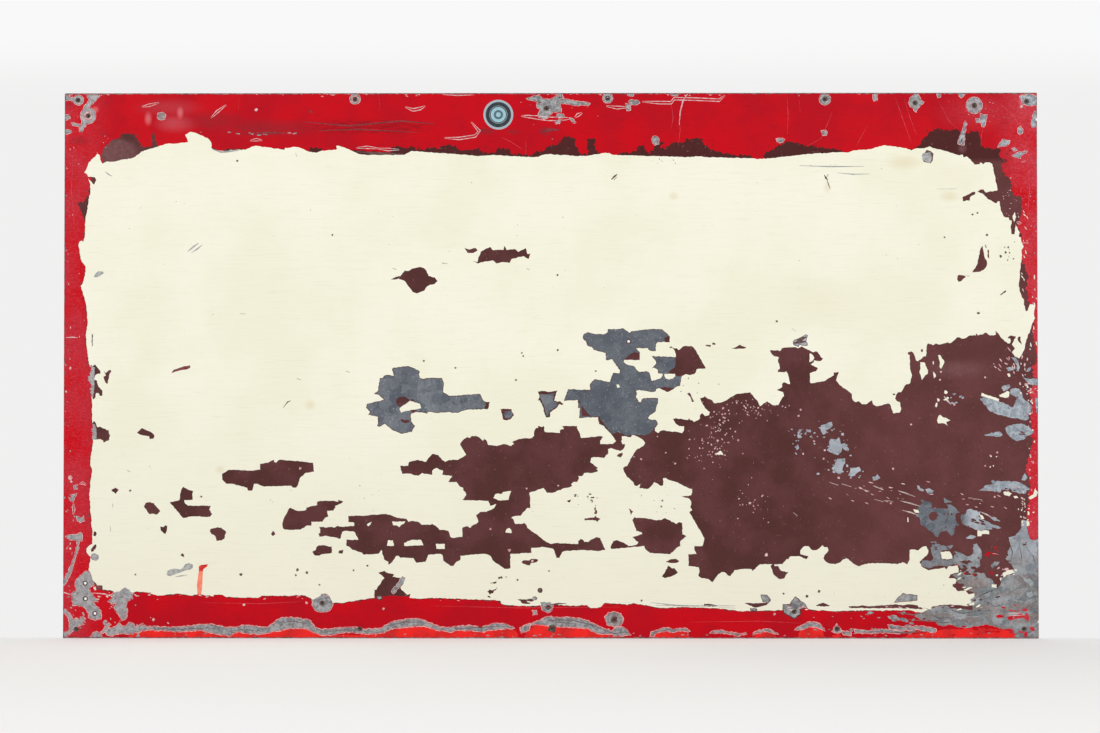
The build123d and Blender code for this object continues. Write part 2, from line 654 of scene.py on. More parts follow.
class Board:
    """The node tree of one material or of the world, with the nodes that the finishes need."""

    def __init__(self, name: str, world: bool = False) -> None:
        """Start a material, or a world, with an empty node tree.

        Args:
            name: Its name.
            world: Whether it is a world.
        """
        self.owner = (bpy.data.worlds if world else bpy.data.materials).new(name)
        self.owner.use_nodes = True
        self.tree = self.owner.node_tree
        self.tree.nodes.clear()

    @cached_property
    def at(self) -> bpy.types.NodeSocket:
        """Give the place on the object."""
        return self.node("ShaderNodeTexCoord", {}, {}).outputs["Object"]

    def node(self, kind: str, settings: dict[str, object], inputs: dict[object, object]) -> bpy.types.Node:
        """Add a node.

        Args:
            kind: The node's type.
            settings: Its own settings, set first.
            inputs: Values or links for its sockets, by name or number.

        Returns:
            The new node.
        """
        node = self.tree.nodes.new(kind)
        for key, value in settings.items():
            setattr(node, key, value)
        for key, value in inputs.items():
            self.feed(node.inputs[key], value)
        return node

    def feed(self, socket: bpy.types.NodeSocket, value: object) -> None:
        """Set a socket's value, or link a socket or a Value to it.

        Args:
            socket: The socket to feed.
            value: What feeds it.
        """
        if isinstance(value, Value):
            self.tree.links.new(value.socket, socket)
        elif isinstance(value, bpy.types.NodeSocket):
            self.tree.links.new(value, socket)
        elif isinstance(value, tuple) and len(value) == 3 and socket.type == "RGBA":
            socket.default_value = (*value, 1.0)
        else:
            socket.default_value = value

    def vector(self, operation: str, *terms: object) -> bpy.types.Node:
        """Add a Vector Math node."""
        return self.node("ShaderNodeVectorMath", {"operation": operation}, dict(enumerate(terms)))

    def noise(
        self,
        scale: float,
        detail: float = 3.0,
        stretch: Triple = (1.0, 1.0, 1.0),
        shift: float = 0.0,
        rough: float = 0.5,
    ) -> Value:
        """Add a noise over the object.

        Args:
            scale: How many lumps there are to a metre, about.
            detail: How many finer noises it holds.
            stretch: How much finer it is along each axis.
            shift: Moves it to another place, so that two noises differ.
            rough: How strong the finer noises are.

        Returns:
            The noise, from 0 to 1 and mostly near 0.5.
        """
        scaled = self.vector("MULTIPLY", self.at, stretch).outputs[0]
        moved = self.vector("ADD", scaled, (shift, shift * 0.7, -shift)).outputs[0]
        inputs = {"Vector": moved, "Scale": scale, "Detail": detail, "Roughness": rough}
        return Value(self, self.node("ShaderNodeTexNoise", {}, inputs).outputs[0])

    def spangle(self, scale: float, warp: float) -> Value:
        """Add the uneven crystals of a zinc coating, each of its own brightness.

        Args:
            scale: How many crystals there are to a metre, about.
            warp: How far their edges stray, in metres.

        Returns:
            The brightness, from 0 to 1.
        """
        stray = self.node("ShaderNodeTexNoise", {}, {"Vector": self.at, "Scale": scale * 1.6, "Detail": 3.0})
        moved = self.vector("MULTIPLY_ADD", stray.outputs[1], (warp, warp, warp), self.at).outputs[0]
        cells = self.node("ShaderNodeTexVoronoi", {}, {"Vector": moved, "Scale": scale}).outputs["Color"]
        return Value(self, self.node("ShaderNodeRGBToBW", {}, {0: cells}).outputs[0]).step(0.2, 0.8)

    def spot(self, spot: Spot) -> Value:
        """Mask a soft oval place at its own strength.

        Args:
            spot: The place.

        Returns:
            A mask of the strength inside and 0 outside.
        """
        x, z = (float(part) * MM for part in PHOTO.place([spot.centre])[0])
        pitch = PHOTO.pitch() * MM
        apart = self.vector("SUBTRACT", self.at, (x, 0.0, z)).outputs[0]
        shares = (1 / (spot.reach[0] * pitch), 0.0, 1 / (spot.reach[1] * pitch))
        away = self.vector("LENGTH", self.vector("MULTIPLY", apart, shares).outputs[0])
        mask = Value(self, away.outputs["Value"]).step(1.0, 1.0 - spot.soft)
        return mask if spot.share == 1.0 else mask * spot.share

    def spots(self, *spots: Spot) -> Value:
        """Mask several places, taking the stronger where two meet."""
        return reduce(or_, [self.spot(spot) for spot in spots])

    def axis(self, name: str) -> Value:
        """Give the place along X, Y or Z, in metres."""
        return Value(self, self.node("ShaderNodeSeparateXYZ", {}, {0: self.at}).outputs[name])

    def facing(self, name: str) -> Value:
        """Give how far the surface faces one way along X, Y or Z, from -1 to 1."""
        turned = self.node("ShaderNodeNewGeometry", {}, {}).outputs["Normal"]
        return Value(self, self.node("ShaderNodeSeparateXYZ", {}, {0: turned}).outputs[name])

    def blend(self, share: Value, first: object, second: object) -> bpy.types.NodeSocket:
        """Mix two colours.

        Args:
            share: How much of the second shows.
            first: A colour or a socket.
            second: A colour or a socket.

        Returns:
            The mixed colour.
        """
        node = self.node("ShaderNodeMix", {"data_type": "RGBA"}, {0: share})
        self.feed(node.inputs[6], first)
        self.feed(node.inputs[7], second)
        return node.outputs[2]

    def mix(self, share: object, first: object, second: object) -> bpy.types.NodeSocket:
        """Mix two shaders."""
        return self.node("ShaderNodeMixShader", {}, {0: share, 1: first, 2: second}).outputs[0]

    def bump(self, height: Value, strength: float, distance: float) -> bpy.types.NodeSocket:
        """Add a bump and give its normal."""
        inputs = {"Strength": strength, "Distance": distance, "Height": height}
        return self.node("ShaderNodeBump", {}, inputs).outputs[0]

    def finish(self, colour: object, rough: object, normal: object, **plain: float) -> bpy.types.Material:
        """Close the material with its surface shader.

        Args:
            colour: The base colour.
            rough: The roughness.
            normal: The bumped normal.
            **plain: Other sockets by name, with _ for a space, each the same all over.

        Returns:
            The finished material.
        """
        inputs = {"Base Color": colour, "Roughness": rough, "Normal": normal}
        inputs |= {key.replace("_", " "): value for key, value in plain.items()}
        shader = self.node("ShaderNodeBsdfPrincipled", {}, inputs)
        self.node("ShaderNodeOutputMaterial", {}, {"Surface": shader.outputs[0]})
        return self.owner


# Finishes


@dataclass(frozen=True)
class ZincFinish:
    """Old zinc coating: dull and spangled, stained dark where paint came off late, rusty low down."""

    light: Colour = srgb(178, 184, 192)
    dull: Colour = srgb(136, 141, 150)
    dark: Colour = srgb(80, 85, 95)
    darkest: Colour = srgb(70, 75, 85)
    grey: Colour = srgb(116, 121, 128)
    warm: Colour = srgb(122, 112, 114)
    brown: Colour = srgb(140, 118, 112)
    rusty: Colour = srgb(150, 110, 104)
    pale: Colour = srgb(180, 172, 174)
    ashen: Colour = srgb(92, 90, 92)
    blotch: Colour = srgb(92, 94, 98)
    pit: Colour = srgb(74, 78, 84)
    glint: Colour = srgb(202, 206, 214)
    scratch: Colour = srgb(196, 198, 202)
    neutral_tones: tuple[Colour, Colour] = (srgb(112, 112, 112), srgb(172, 172, 172))
    bluish_tones: tuple[Colour, Colour] = (srgb(122, 132, 142), srgb(176, 186, 194))
    stone_tones: tuple[Colour, Colour] = (srgb(112, 119, 122), srgb(156, 160, 163))
    spangle: float = 90.0
    spangle_warp: float = 0.014
    stains: tuple[Spot, ...] = (
        Spot((560, 385), (262, 84), 0.12),
        Spot((938, 516), (33, 30), 0.3),
        Spot((938, 556), (30, 34), 0.5, 0.8),
    )
    deepest_stain: Spot = Spot((652, 385), (104, 80), 0.2, 0.45)
    ashen_chip: Spot = Spot((793, 606), (9, 8), 0.9, 0.6)
    rusty_chips: tuple[Spot, ...] = (
        Spot((161, 117), (8, 7)), Spot((975, 105), (13, 11)), Spot((615, 619), (10, 9)),
    )
    bare_corner: Spot = Spot((985, 600), (95, 66), 0.5)

    def border(self, board: Board, base: object, front: Value) -> bpy.types.NodeSocket:
        """Tint the chips in the border: neutral, bluish at the right, pale at the left, warm low down.

        Args:
            board: The material's nodes.
            base: The colour so far.
            front: A mask of the sheet's front.

        Returns:
            The tinted colour.
        """
        x, z = board.axis("X"), board.axis("Z")
        low = z.step(-0.25, -0.29) | x.step(-0.55, -0.59)
        tinted = low * 0.38 | z.step(0.26, 0.28) * 0.62
        colour = board.blend(tinted * front, base, self.warm)
        edges = z.step(0.24, 0.26) | z.step(-0.27, -0.29) | x.step(-0.55, -0.57)
        flecked = board.noise(150, 6, shift=31.0, rough=0.75).step(0.44, 0.56)
        neutral = board.blend(flecked, *self.neutral_tones)
        colour = board.blend(edges * front * 0.75, colour, neutral)
        right = x.step(0.5, 0.54) * z.step(-0.2, -0.16) * front
        bluish = board.blend(flecked, *self.bluish_tones)
        colour = board.blend(right * 0.6, colour, bluish)
        left = x.step(-0.52, -0.57) * front
        colour = board.blend(left * 0.4, colour, self.pale)
        colour = board.blend(board.spots(self.ashen_chip), colour, self.ashen)
        return board.blend(board.spots(*self.rusty_chips) * 0.5, colour, self.rusty)

    def corner(self, board: Board, base: object, front: Value) -> bpy.types.NodeSocket:
        """Mottle and streak the large bare corner, and blotch the zinc all over.

        Args:
            board: The material's nodes.
            base: The colour so far.
            front: A mask of the sheet's front.

        Returns:
            The mottled colour.
        """
        corner = board.spots(self.bare_corner) * front
        streaks = board.noise(30, 5, (1.0, 1.0, 3.0), 9.0).step(0.44, 0.6)
        mottle = board.noise(64, 6, shift=12.0, rough=0.65).step(0.44, 0.57)
        colour = board.blend(corner * 0.8, base, board.blend(mottle, *self.stone_tones))
        colour = board.blend(corner * streaks * 0.55, colour, self.brown)
        blotches = board.noise(110, 5, shift=21.0, rough=0.7).step(0.56, 0.66)
        return board.blend(blotches * (corner * 0.5 | 0.2), colour, self.blotch)

    def material(self) -> bpy.types.Material:
        """Build the material.

        Returns:
            The finished material.
        """
        board = Board("zinc_coated_sheet")
        cloud = board.noise(34, 5)
        fine = board.noise(230, 5, shift=3.0, rough=0.65)
        crystals = board.spangle(self.spangle, self.spangle_warp)
        front = board.facing("Y").step(-0.2, -0.5)
        colour = board.blend(cloud.step(0.35, 0.65), self.dull, self.light)
        colour = board.blend(crystals * 0.22, colour, self.glint)
        tone = board.blend(crystals * 0.6 + cloud.step(0.4, 0.62) * 0.4, self.dark, self.grey)
        tone = board.blend(board.spots(self.deepest_stain), tone, self.darkest)
        colour = board.blend(board.spots(*self.stains) * front * 0.97, colour, tone)
        colour = self.corner(board, self.border(board, colour, front), front)
        colour = board.blend(fine.step(0.52, 0.68, 0.0, 0.55), colour, self.pit)
        bright = board.noise(520, 3, shift=8.0).step(0.6, 0.72)
        colour = board.blend(bright * 0.35, colour, self.scratch)
        rough = cloud.step(0.3, 0.7, 0.42, 0.62)
        normal = board.bump(fine * 0.6 + crystals * 0.4, 0.25, 0.0003)
        return board.finish(colour, rough, normal, Metallic=0.3, Specular_IOR_Level=0.25)


@dataclass(frozen=True)
class UndercoatFinish:
    """Dull red-brown undercoat: mottled, darker along the top, paler where thin, and a painted sheen on the
    right knock.
    """

    main: Colour = srgb(94, 53, 54)
    deep: Colour = srgb(80, 44, 42)
    warm: Colour = srgb(106, 60, 60)
    top: Colour = srgb(72, 28, 28)
    thin: Colour = srgb(138, 96, 98)
    worn: Colour = srgb(132, 100, 100)
    speck: Colour = srgb(58, 34, 34)
    thin_paint_and_sheen_places: tuple[Spot, ...] = (
        Spot((118, 154), (24, 18), 0.4, 0.5),
        # A painted sheen where the knock on the right catches the light; the other two places are thin paint
        Spot((957, 369), (44, 13), 0.9, 0.4),
        Spot((963, 148), (6, 7), 0.9, 0.5),
    )

    def material(self) -> bpy.types.Material:
        """Build the material.

        Returns:
            The finished material.
        """
        board = Board("undercoat_film")
        cloud = board.noise(22, 5)
        fine = board.noise(210, 4, shift=2.0)
        x, z = board.axis("X"), board.axis("Z")
        colour = board.blend(cloud.step(0.38, 0.62), self.main, self.deep)
        right = x.step(0.3, 0.42) * 0.7
        colour = board.blend(right * cloud.step(0.3, 0.6, 1.0, 0.6), colour, self.warm)
        colour = board.blend(z.step(0.262, 0.272) * x.step(-0.46, -0.4, 0.0, 0.9), colour, self.top)
        # Paler where the paint is thin, and a painted sheen over the knock on the right
        thin = board.spots(*self.thin_paint_and_sheen_places) * fine.step(0.3, 0.6, 0.5)
        colour = board.blend(thin, colour, self.thin)
        colour = board.blend(fine.step(0.62, 0.74) * 0.4, colour, self.worn)
        specks = board.noise(420, 2, shift=5.0).step(0.64, 0.74)
        colour = board.blend(specks * 0.5, colour, self.speck)
        rough = fine.step(0.3, 0.7, 0.62, 0.82)
        normal = board.bump(fine * 0.5 + cloud * 0.5, 0.3, 0.0004)
        return board.finish(colour, rough, normal, Specular_IOR_Level=0.14)


@dataclass(frozen=True)
class OldRedFinish:
    """The older orange-red coat that shows along the bottom edge."""

    main: Colour = srgb(238, 38, 34)
    dull: Colour = srgb(196, 36, 36)
    faded: Colour = srgb(176, 90, 92)

    def material(self) -> bpy.types.Material:
        """Build the material.

        Returns:
            The finished material.
        """
        board = Board("old_red_film")
        cloud = board.noise(40, 5)
        fine = board.noise(300, 3, (1.0, 1.0, 2.0), 4.0)
        colour = board.blend(cloud.step(0.4, 0.66), self.main, self.dull)
        colour = board.blend(fine.step(0.6, 0.76) * 0.5, colour, self.faded)
        normal = board.bump(fine, 0.2, 0.0003)
        return board.finish(colour, fine.step(0.3, 0.7, 0.4, 0.6), normal, Specular_IOR_Level=0.12)


@dataclass(frozen=True)
class RedFinish:
    """Crimson border enamel: satin, scuffed paler towards the corners and side edges, with painted highlights
    on dents.
    """

    main: Colour = srgb(197, 5, 23)
    deep: Colour = srgb(180, 7, 26)
    smear: Colour = srgb(146, 12, 24)
    dirt: Colour = srgb(132, 34, 44)
    scuff: Colour = srgb(214, 84, 96)
    haze: Colour = srgb(196, 92, 102)
    # glint is the tone of the painted highlights on the dents
    glint: Colour = srgb(240, 146, 154)
    scuffed_corner: Spot = Spot((985, 112), (60, 26), 0.9, 0.5)
    smeared: Spot = Spot((370, 127), (84, 10), 0.6)
    hazy: tuple[Spot, ...] = (Spot((176, 124), (26, 12)), Spot((170, 108), (44, 12), 0.9, 0.5))
    dirty: tuple[Spot, ...] = (
        Spot((214, 121), (40, 14), 0.9, 0.75), Spot((270, 128), (70, 12), 0.9, 0.8),
        Spot((486, 131), (14, 5), 0.8), Spot((514, 132), (10, 4), 0.8, 0.8),
        Spot((546, 131), (9, 6), 0.7), Spot((80, 141), (16, 7), 0.9, 0.7),
        Spot((262, 134), (32, 2.6), 0.8), Spot((70, 104), (8, 8), 0.9, 0.6),
    )
    # Painted highlights where dents along the top catch the light
    painted_highlights: tuple[Spot, ...] = (
        Spot((149, 119), (5, 9), 0.95), Spot((181, 113), (4.5, 8), 0.95),
        Spot((96, 110), (5, 5), 0.95), Spot((1024, 102), (6, 5), 0.95),
    )

    def material(self) -> bpy.types.Material:
        """Build the material.

        Returns:
            The finished material.
        """
        board = Board("red_film")
        cloud = board.noise(16, 4)
        fine = board.noise(340, 4, (1.0, 1.0, 1.6), 6.0)
        lines = board.noise(60, 4, (1.0, 1.0, 9.0), 8.0)
        colour = board.blend(cloud.step(0.36, 0.64), self.main, self.deep)
        outward = board.axis("X")
        sides = outward.step(0.57, 0.625) | outward.step(-0.565, -0.62) * 0.6
        scuffs = (sides | board.spots(self.scuffed_corner)) * 0.75
        rubbed = cloud.step(0.35, 0.6) * 0.5 + fine.step(0.45, 0.68) * 0.5
        colour = board.blend(scuffs * rubbed, colour, self.scuff)
        smears = lines.step(0.58, 0.7) * 0.55 | board.spots(self.smeared) * lines.step(0.42, 0.6)
        colour = board.blend(smears, colour, self.smear)
        hazes = board.spots(*self.hazy) * cloud.step(0.2, 0.6, 0.4) * 0.5
        colour = board.blend(hazes, colour, self.haze)
        dirty = board.spots(*self.dirty) * (fine.step(0.3, 0.6, 0.5) * 0.8)
        colour = board.blend(dirty, colour, self.dirt)
        # Painted highlights on the dents
        colour = board.blend(board.spots(*self.painted_highlights) * 0.42, colour, self.glint)
        rough = cloud.step(0.3, 0.7, 0.34, 0.5)
        normal = board.bump(fine * 0.5 + lines * 0.5, 0.15, 0.0003)
        return board.finish(colour, rough, normal, Specular_IOR_Level=0.08)


@dataclass(frozen=True)
class CreamFinish:
    """Cream oil paint laid on by brush, a little darker in its lower half."""

    main: Colour = srgb(243, 241, 223)
    second: Colour = srgb(238, 236, 213)
    low: Colour = srgb(235, 233, 214)
    brushed: Colour = srgb(228, 224, 200)
    lined: Colour = srgb(218, 212, 190)
    dirt: Colour = srgb(196, 190, 170)
    tan: Colour = srgb(214, 196, 150)
    tan_spots: tuple[Spot, ...] = (
        Spot((674, 196), (7, 6)), Spot((220, 470), (7, 6)), Spot((950, 196), (14, 8)),
        Spot((310, 405), (8, 7)), Spot((904, 162), (24, 10)), Spot((828, 187), (5, 9)),
    )
    tan_hazes: tuple[Spot, ...] = (Spot((962, 176), (44, 26)), Spot((830, 300), (60, 40)))

    def material(self) -> bpy.types.Material:
        """Build the material.

        Returns:
            The finished material.
        """
        board = Board("cream_film")
        cloud = board.noise(7, 4)
        brush = board.noise(34, 5, (1.0, 1.0, 12.0), 2.0)
        fine = board.noise(520, 2, shift=7.0)
        colour = board.blend(cloud.step(0.36, 0.64), self.main, self.second)
        colour = board.blend(board.axis("Z").step(0.0, -0.22) * 0.7, colour, self.low)
        colour = board.blend(brush.step(0.5, 0.78) * 0.25, colour, self.brushed)
        lines = board.noise(26, 6, (1.0, 1.0, 34.0), 4.0).step(0.6, 0.7)
        colour = board.blend(lines * 0.3, colour, self.lined)
        specks = board.noise(150, 5, shift=11.0, rough=0.7).step(0.64, 0.73)
        colour = board.blend(specks * 0.3 | fine.step(0.7, 0.8) * 0.3, colour, self.dirt)
        tanned = board.spots(*self.tan_spots) * 0.35 | board.spots(*self.tan_hazes) * 0.1
        colour = board.blend(tanned, colour, self.tan)
        rough = brush.step(0.3, 0.7, 0.36, 0.52)
        normal = board.bump(brush * 0.8 + fine * 0.2, 0.25, 0.0003)
        return board.finish(colour, rough, normal, Specular_IOR_Level=0.3)


@dataclass(frozen=True)
class MarkFinish:
    """A mark on the paint: a scratch, smear or speck of one tone, uneven as it wears."""

    name: str
    main: Colour
    worn: Colour

    def material(self) -> bpy.types.Material:
        """Build the material.

        Returns:
            The finished material.
        """
        board = Board(self.name)
        fine = board.noise(260, 3, shift=1.5)
        colour = board.blend(fine.step(0.38, 0.64), self.main, self.worn)
        normal = board.bump(fine, 0.2, 0.0002)
        rough = fine.step(0.3, 0.7, 0.45, 0.7)
        return board.finish(colour, rough, normal, Specular_IOR_Level=0.25)


@dataclass(frozen=True)
class LabelFinish:
    """Printed film of the round label: dark, with plain pale rings and a pale centre. Sizes are in metres."""

    dark: Colour = srgb(22, 36, 46)
    rim: Colour = srgb(162, 178, 184)
    heart: Colour = srgb(150, 193, 204)
    dust: Colour = srgb(120, 124, 122)
    centre: Triple = (-0.0679, 0.0, 0.3272)
    heart_radius: float = 0.0101
    hub_band: tuple[float, float] = (0.0030, 0.0062)
    ring_band: tuple[float, float] = (0.0108, 0.0119)
    rim_edge: tuple[float, float] = (0.0164, 0.0168)
    soft: float = 0.0003

    def material(self) -> bpy.types.Material:
        """Build the material.

        Returns:
            The finished material.
        """
        board = Board("label_film")
        apart = board.vector("SUBTRACT", board.at, self.centre).outputs[0]
        flat = board.vector("MULTIPLY", apart, (1.0, 0.0, 1.0)).outputs[0]
        away = Value(board, board.vector("LENGTH", flat).outputs["Value"])
        fine = board.noise(600, 3)
        rims = away.step(*self.rim_edge) | away.band(*self.ring_band, self.soft) * 0.7
        colour = board.blend(rims, self.dark, self.rim)
        heart = away.step(self.heart_radius, self.heart_radius - self.soft)
        colour = board.blend(heart, colour, self.heart)
        colour = board.blend(away.band(*self.hub_band, self.soft) * 0.8, colour, self.dark)
        colour = board.blend(fine.step(0.55, 0.75) * 0.3, colour, self.dust)
        normal = board.bump(fine, 0.08, 0.0002)
        return board.finish(colour, fine.step(0.3, 0.7, 0.25, 0.4), normal, Specular_IOR_Level=0.4)


# The cream field's edge, in pixels of the photograph, clockwise from its top left corner
CREAM_TOP: Outline = (
    89, 200, 91, 193, 91, 185, 88, 175, 85, 173, 87, 170, 89, 164, 92, 160, 96, 157, 98, 154, 100, 155,
    101, 160, 103, 164, 107, 162, 114, 162, 122, 160, 131, 159, 136, 157, 142, 152, 168, 144, 173, 144,
    185, 143, 189, 142, 188, 139, 186, 135, 188, 134, 192, 132, 196, 133, 209, 139, 212, 143, 212, 148,
    214, 150, 221, 151, 230, 151, 231, 150, 246, 150, 251, 148, 252, 147, 256, 146, 285, 150, 286, 148,
    290, 148, 295, 147, 301, 148, 310, 152, 317, 153, 322, 151, 336, 150, 338, 149, 337, 146, 340, 146,
    346, 148, 359, 154, 367, 155, 405, 155, 412, 151, 480, 156, 493, 155, 531, 157, 539, 157, 543, 155,
    550, 154, 560, 155, 568, 155, 575, 156, 586, 156, 604, 153, 610, 153, 615, 155, 650, 156, 660, 156,
    687, 157, 702, 156, 706, 157, 752, 158, 759, 159, 772, 158, 817, 153, 827, 153, 835, 152, 850, 152,
    855, 150, 871, 149, 880, 146, 886, 145, 907, 148, 912, 150, 917, 148, 925, 148, 930, 146, 935, 148,
    940, 149, 960, 155, 963, 154, 964, 157, 967, 156, 971, 159, 975, 164, 980, 164, 981, 162, 984, 164,
    986, 162, 990, 162, 993, 164, 998, 189,
)
CREAM_RIGHT: Outline = (
    998, 190, 986, 192, 984, 189, 981, 189, 978, 191, 984, 194, 989, 199, 993, 201, 997, 203, 998, 201,
    1000, 201, 1001, 209, 1004, 216, 1006, 217, 1009, 217, 1010, 220, 1012, 220, 1012, 223, 1011, 227,
    1012, 234, 1015, 234, 1016, 224, 1020, 232, 1019, 236, 1021, 237, 1022, 242, 1024, 246, 1022, 249,
    1022, 258, 1020, 272, 1020, 277, 1019, 284, 1020, 291, 1022, 297, 1024, 299, 1024, 302, 1024, 304,
    1025, 306, 1026, 311, 1028, 310, 1030, 304, 1033, 304, 1035, 306, 1034, 312, 1035, 318, 1032, 324,
    1030, 332, 1028, 334, 1024, 350, 1019, 358,
)
FLAKE_TOP: Outline = (
    1015, 356, 1012, 352, 1015, 348, 1012, 344, 1016, 336, 1011, 335, 1008, 337, 1008, 338, 1010, 338,
    1011, 340, 1010, 343, 1008, 343, 1005, 341, 1001, 337, 996, 330, 996, 334, 994, 335, 990, 335, 986, 332,
    984, 333, 983, 334, 978, 335, 976, 333, 976, 335, 970, 335, 965, 338, 961, 338, 960, 337, 957, 337,
    953, 341, 950, 343, 948, 342, 941, 344, 938, 344, 936, 343, 933, 345, 932, 344, 928, 343, 927, 345,
    926, 356, 924, 356, 922, 358, 918, 361, 916, 360, 915, 356, 913, 352, 911, 351, 908, 352, 908, 354,
    910, 355, 910, 368, 912, 375, 910, 383, 906, 384, 901, 392, 898, 392, 896, 395, 895, 398, 897, 401,
    900, 402, 901, 409, 900, 412, 893, 413, 890, 404, 888, 403, 884, 404, 882, 405, 877, 406, 873, 404,
    872, 400, 866, 404, 862, 404, 859, 401, 856, 402, 853, 400, 852, 398, 852, 394, 850, 392, 840, 385,
    836, 380, 839, 372, 834, 372, 834, 375, 824, 381, 811, 383, 810, 382, 810, 373, 816, 371, 818, 368,
    812, 365, 811, 364, 814, 362, 814, 360, 820, 361, 822, 360, 823, 358, 821, 357, 818, 352, 816, 351,
    814, 352, 811, 351, 802, 346, 798, 348, 796, 347, 790, 347, 782, 348, 780, 351, 777, 350, 770, 350,
    772, 354, 774, 356, 779, 357, 778, 360, 780, 368, 778, 370, 778, 372, 785, 372, 786, 371, 788, 374,
    789, 378, 790, 384, 784, 382, 782, 384, 782, 387, 777, 390, 783, 392, 784, 396, 782, 398, 778, 405,
    773, 405, 770, 403, 768, 402, 767, 401, 760, 406, 757, 400, 754, 397, 750, 392, 736, 394, 728, 399,
    722, 402, 714, 403, 712, 400, 707, 398, 705, 396, 704, 397, 700, 398, 705, 408, 710, 412, 709, 415,
    705, 416, 702, 413, 700, 415, 700, 418, 698, 420, 694, 422, 692, 420, 690, 420, 689, 418, 688, 420,
    676, 418, 673, 419, 676, 424, 679, 426, 684, 426, 684, 430, 682, 433, 678, 432, 667, 431, 664, 430,
    660, 431, 658, 433, 655, 431,
)
BARE_PATCH_EDGE: Outline = (
    655, 428, 658, 424, 656, 420, 649, 419, 648, 418, 650, 415, 655, 412, 656, 410, 656, 408, 658, 403,
    658, 398, 644, 398, 642, 399, 641, 402, 639, 402, 638, 400, 637, 398, 636, 398, 637, 394, 636, 391,
    638, 390, 652, 392, 656, 391, 656, 389, 659, 388, 667, 392, 670, 391, 678, 386, 680, 386, 682, 376,
    684, 375, 686, 374, 690, 375, 694, 374, 696, 372, 697, 369, 706, 368, 695, 349, 692, 346, 690, 346,
    684, 346, 679, 350, 677, 348, 674, 348, 671, 346, 669, 348, 673, 348, 675, 351, 676, 354, 676, 357,
    652, 356, 656, 361, 656, 364, 652, 368, 655, 368, 658, 370, 658, 373, 663, 374, 661, 378, 652, 381,
    650, 374, 649, 372, 646, 371, 640, 372, 637, 370, 634, 366, 626, 364, 624, 362, 624, 360, 640, 360,
    640, 356, 640, 352, 636, 348, 648, 348, 649, 350, 652, 351, 656, 351, 656, 344, 658, 342, 670, 342,
    670, 336, 662, 329, 650, 329, 640, 330, 632, 331, 630, 333, 623, 328, 618, 329, 608, 329, 608, 332,
    605, 334, 595, 334, 588, 332, 584, 334, 583, 337, 584, 340, 586, 341, 588, 346, 592, 347, 594, 350,
    603, 352, 606, 353, 606, 360, 609, 360, 612, 359, 620, 370, 620, 373, 613, 373, 610, 382, 600, 380,
    595, 379, 590, 384, 590, 390, 568, 389, 564, 401, 578, 400, 578, 408, 580, 408, 579, 418, 598, 417,
    599, 424, 604, 426, 605, 428, 609, 432, 611, 434,
)
CHAIN_TOP: Outline = (
    614, 438, 616, 441, 612, 444, 600, 444, 600, 441, 603, 437, 601, 436, 581, 438, 580, 434, 577, 428,
    577, 426, 562, 426, 564, 429, 560, 430, 560, 433, 545, 432, 544, 430, 544, 426, 541, 427, 538, 426,
    538, 428, 536, 428, 534, 432, 534, 436, 532, 438, 519, 439, 512, 442, 514, 444, 511, 446, 504, 444,
    497, 446, 488, 445, 486, 440, 484, 439, 483, 441, 482, 440, 480, 438, 476, 436, 472, 436, 470, 438,
    467, 437, 466, 438, 464, 439, 462, 441, 460, 444, 466, 455, 458, 460, 449, 460, 445, 462, 442, 460,
    438, 455, 432, 454, 427, 460, 426, 462, 418, 460, 413, 461, 409, 462, 408, 466, 400, 466, 402, 474,
    411, 474, 413, 475, 418, 476, 422, 473, 424, 474, 426, 474, 432, 475, 432, 471, 434, 469, 437, 468,
    440, 470, 443, 471, 442, 475, 452, 476, 448, 482, 456, 482, 460, 487, 463, 488, 463, 490, 465, 492,
    466, 495, 464, 498, 462, 500, 488, 501, 490, 506, 496, 504, 494, 508, 486, 512, 480, 512, 476, 515,
    478, 522, 476, 524, 473, 525, 470, 528, 467, 526, 462, 528, 462, 537, 452, 538, 450, 537, 449, 533,
    448, 531, 444, 530, 439, 530, 438, 528, 432, 524, 430, 525, 422, 525, 418, 522, 413, 521, 408, 522,
    406, 519, 397, 518, 392, 516, 390, 515, 385, 514, 362, 516, 348, 516, 348, 522, 354, 523, 354, 526,
    342, 527, 337, 526, 334, 528, 331, 527, 326, 528, 323, 527, 319, 527,
)
CHAIN_BOTTOM: Outline = (
    320, 530, 320, 533, 318, 534, 319, 537, 326, 536, 340, 539, 342, 532, 346, 531, 354, 532, 358, 540,
    346, 540, 346, 546, 349, 547, 352, 550, 362, 553, 362, 554, 364, 555, 378, 554, 381, 550, 384, 560,
    388, 562, 388, 565, 392, 562, 396, 556, 398, 556, 400, 558, 413, 558, 414, 560, 416, 563, 425, 562,
    426, 560, 428, 555, 440, 554, 442, 555, 443, 561, 450, 566, 453, 566, 456, 562, 460, 560, 460, 556,
    481, 554, 485, 554, 490, 556, 492, 560, 494, 562, 504, 569, 508, 569, 510, 568, 510, 554, 519, 554,
    522, 553, 531, 553, 531, 548, 543, 547, 553, 549, 554, 551, 556, 558, 559, 558, 562, 552, 565, 551,
    580, 550, 599, 551, 602, 550, 605, 550,
)
STRIP_TOP: Outline = (
    603, 546, 600, 538, 596, 537, 590, 540, 588, 542, 584, 542, 583, 540, 580, 539, 578, 541, 578, 544,
    575, 544, 556, 543, 550, 544, 546, 542, 536, 534, 527, 528, 526, 525, 524, 523, 520, 524, 515, 524,
    513, 519, 511, 518, 512, 517,
)
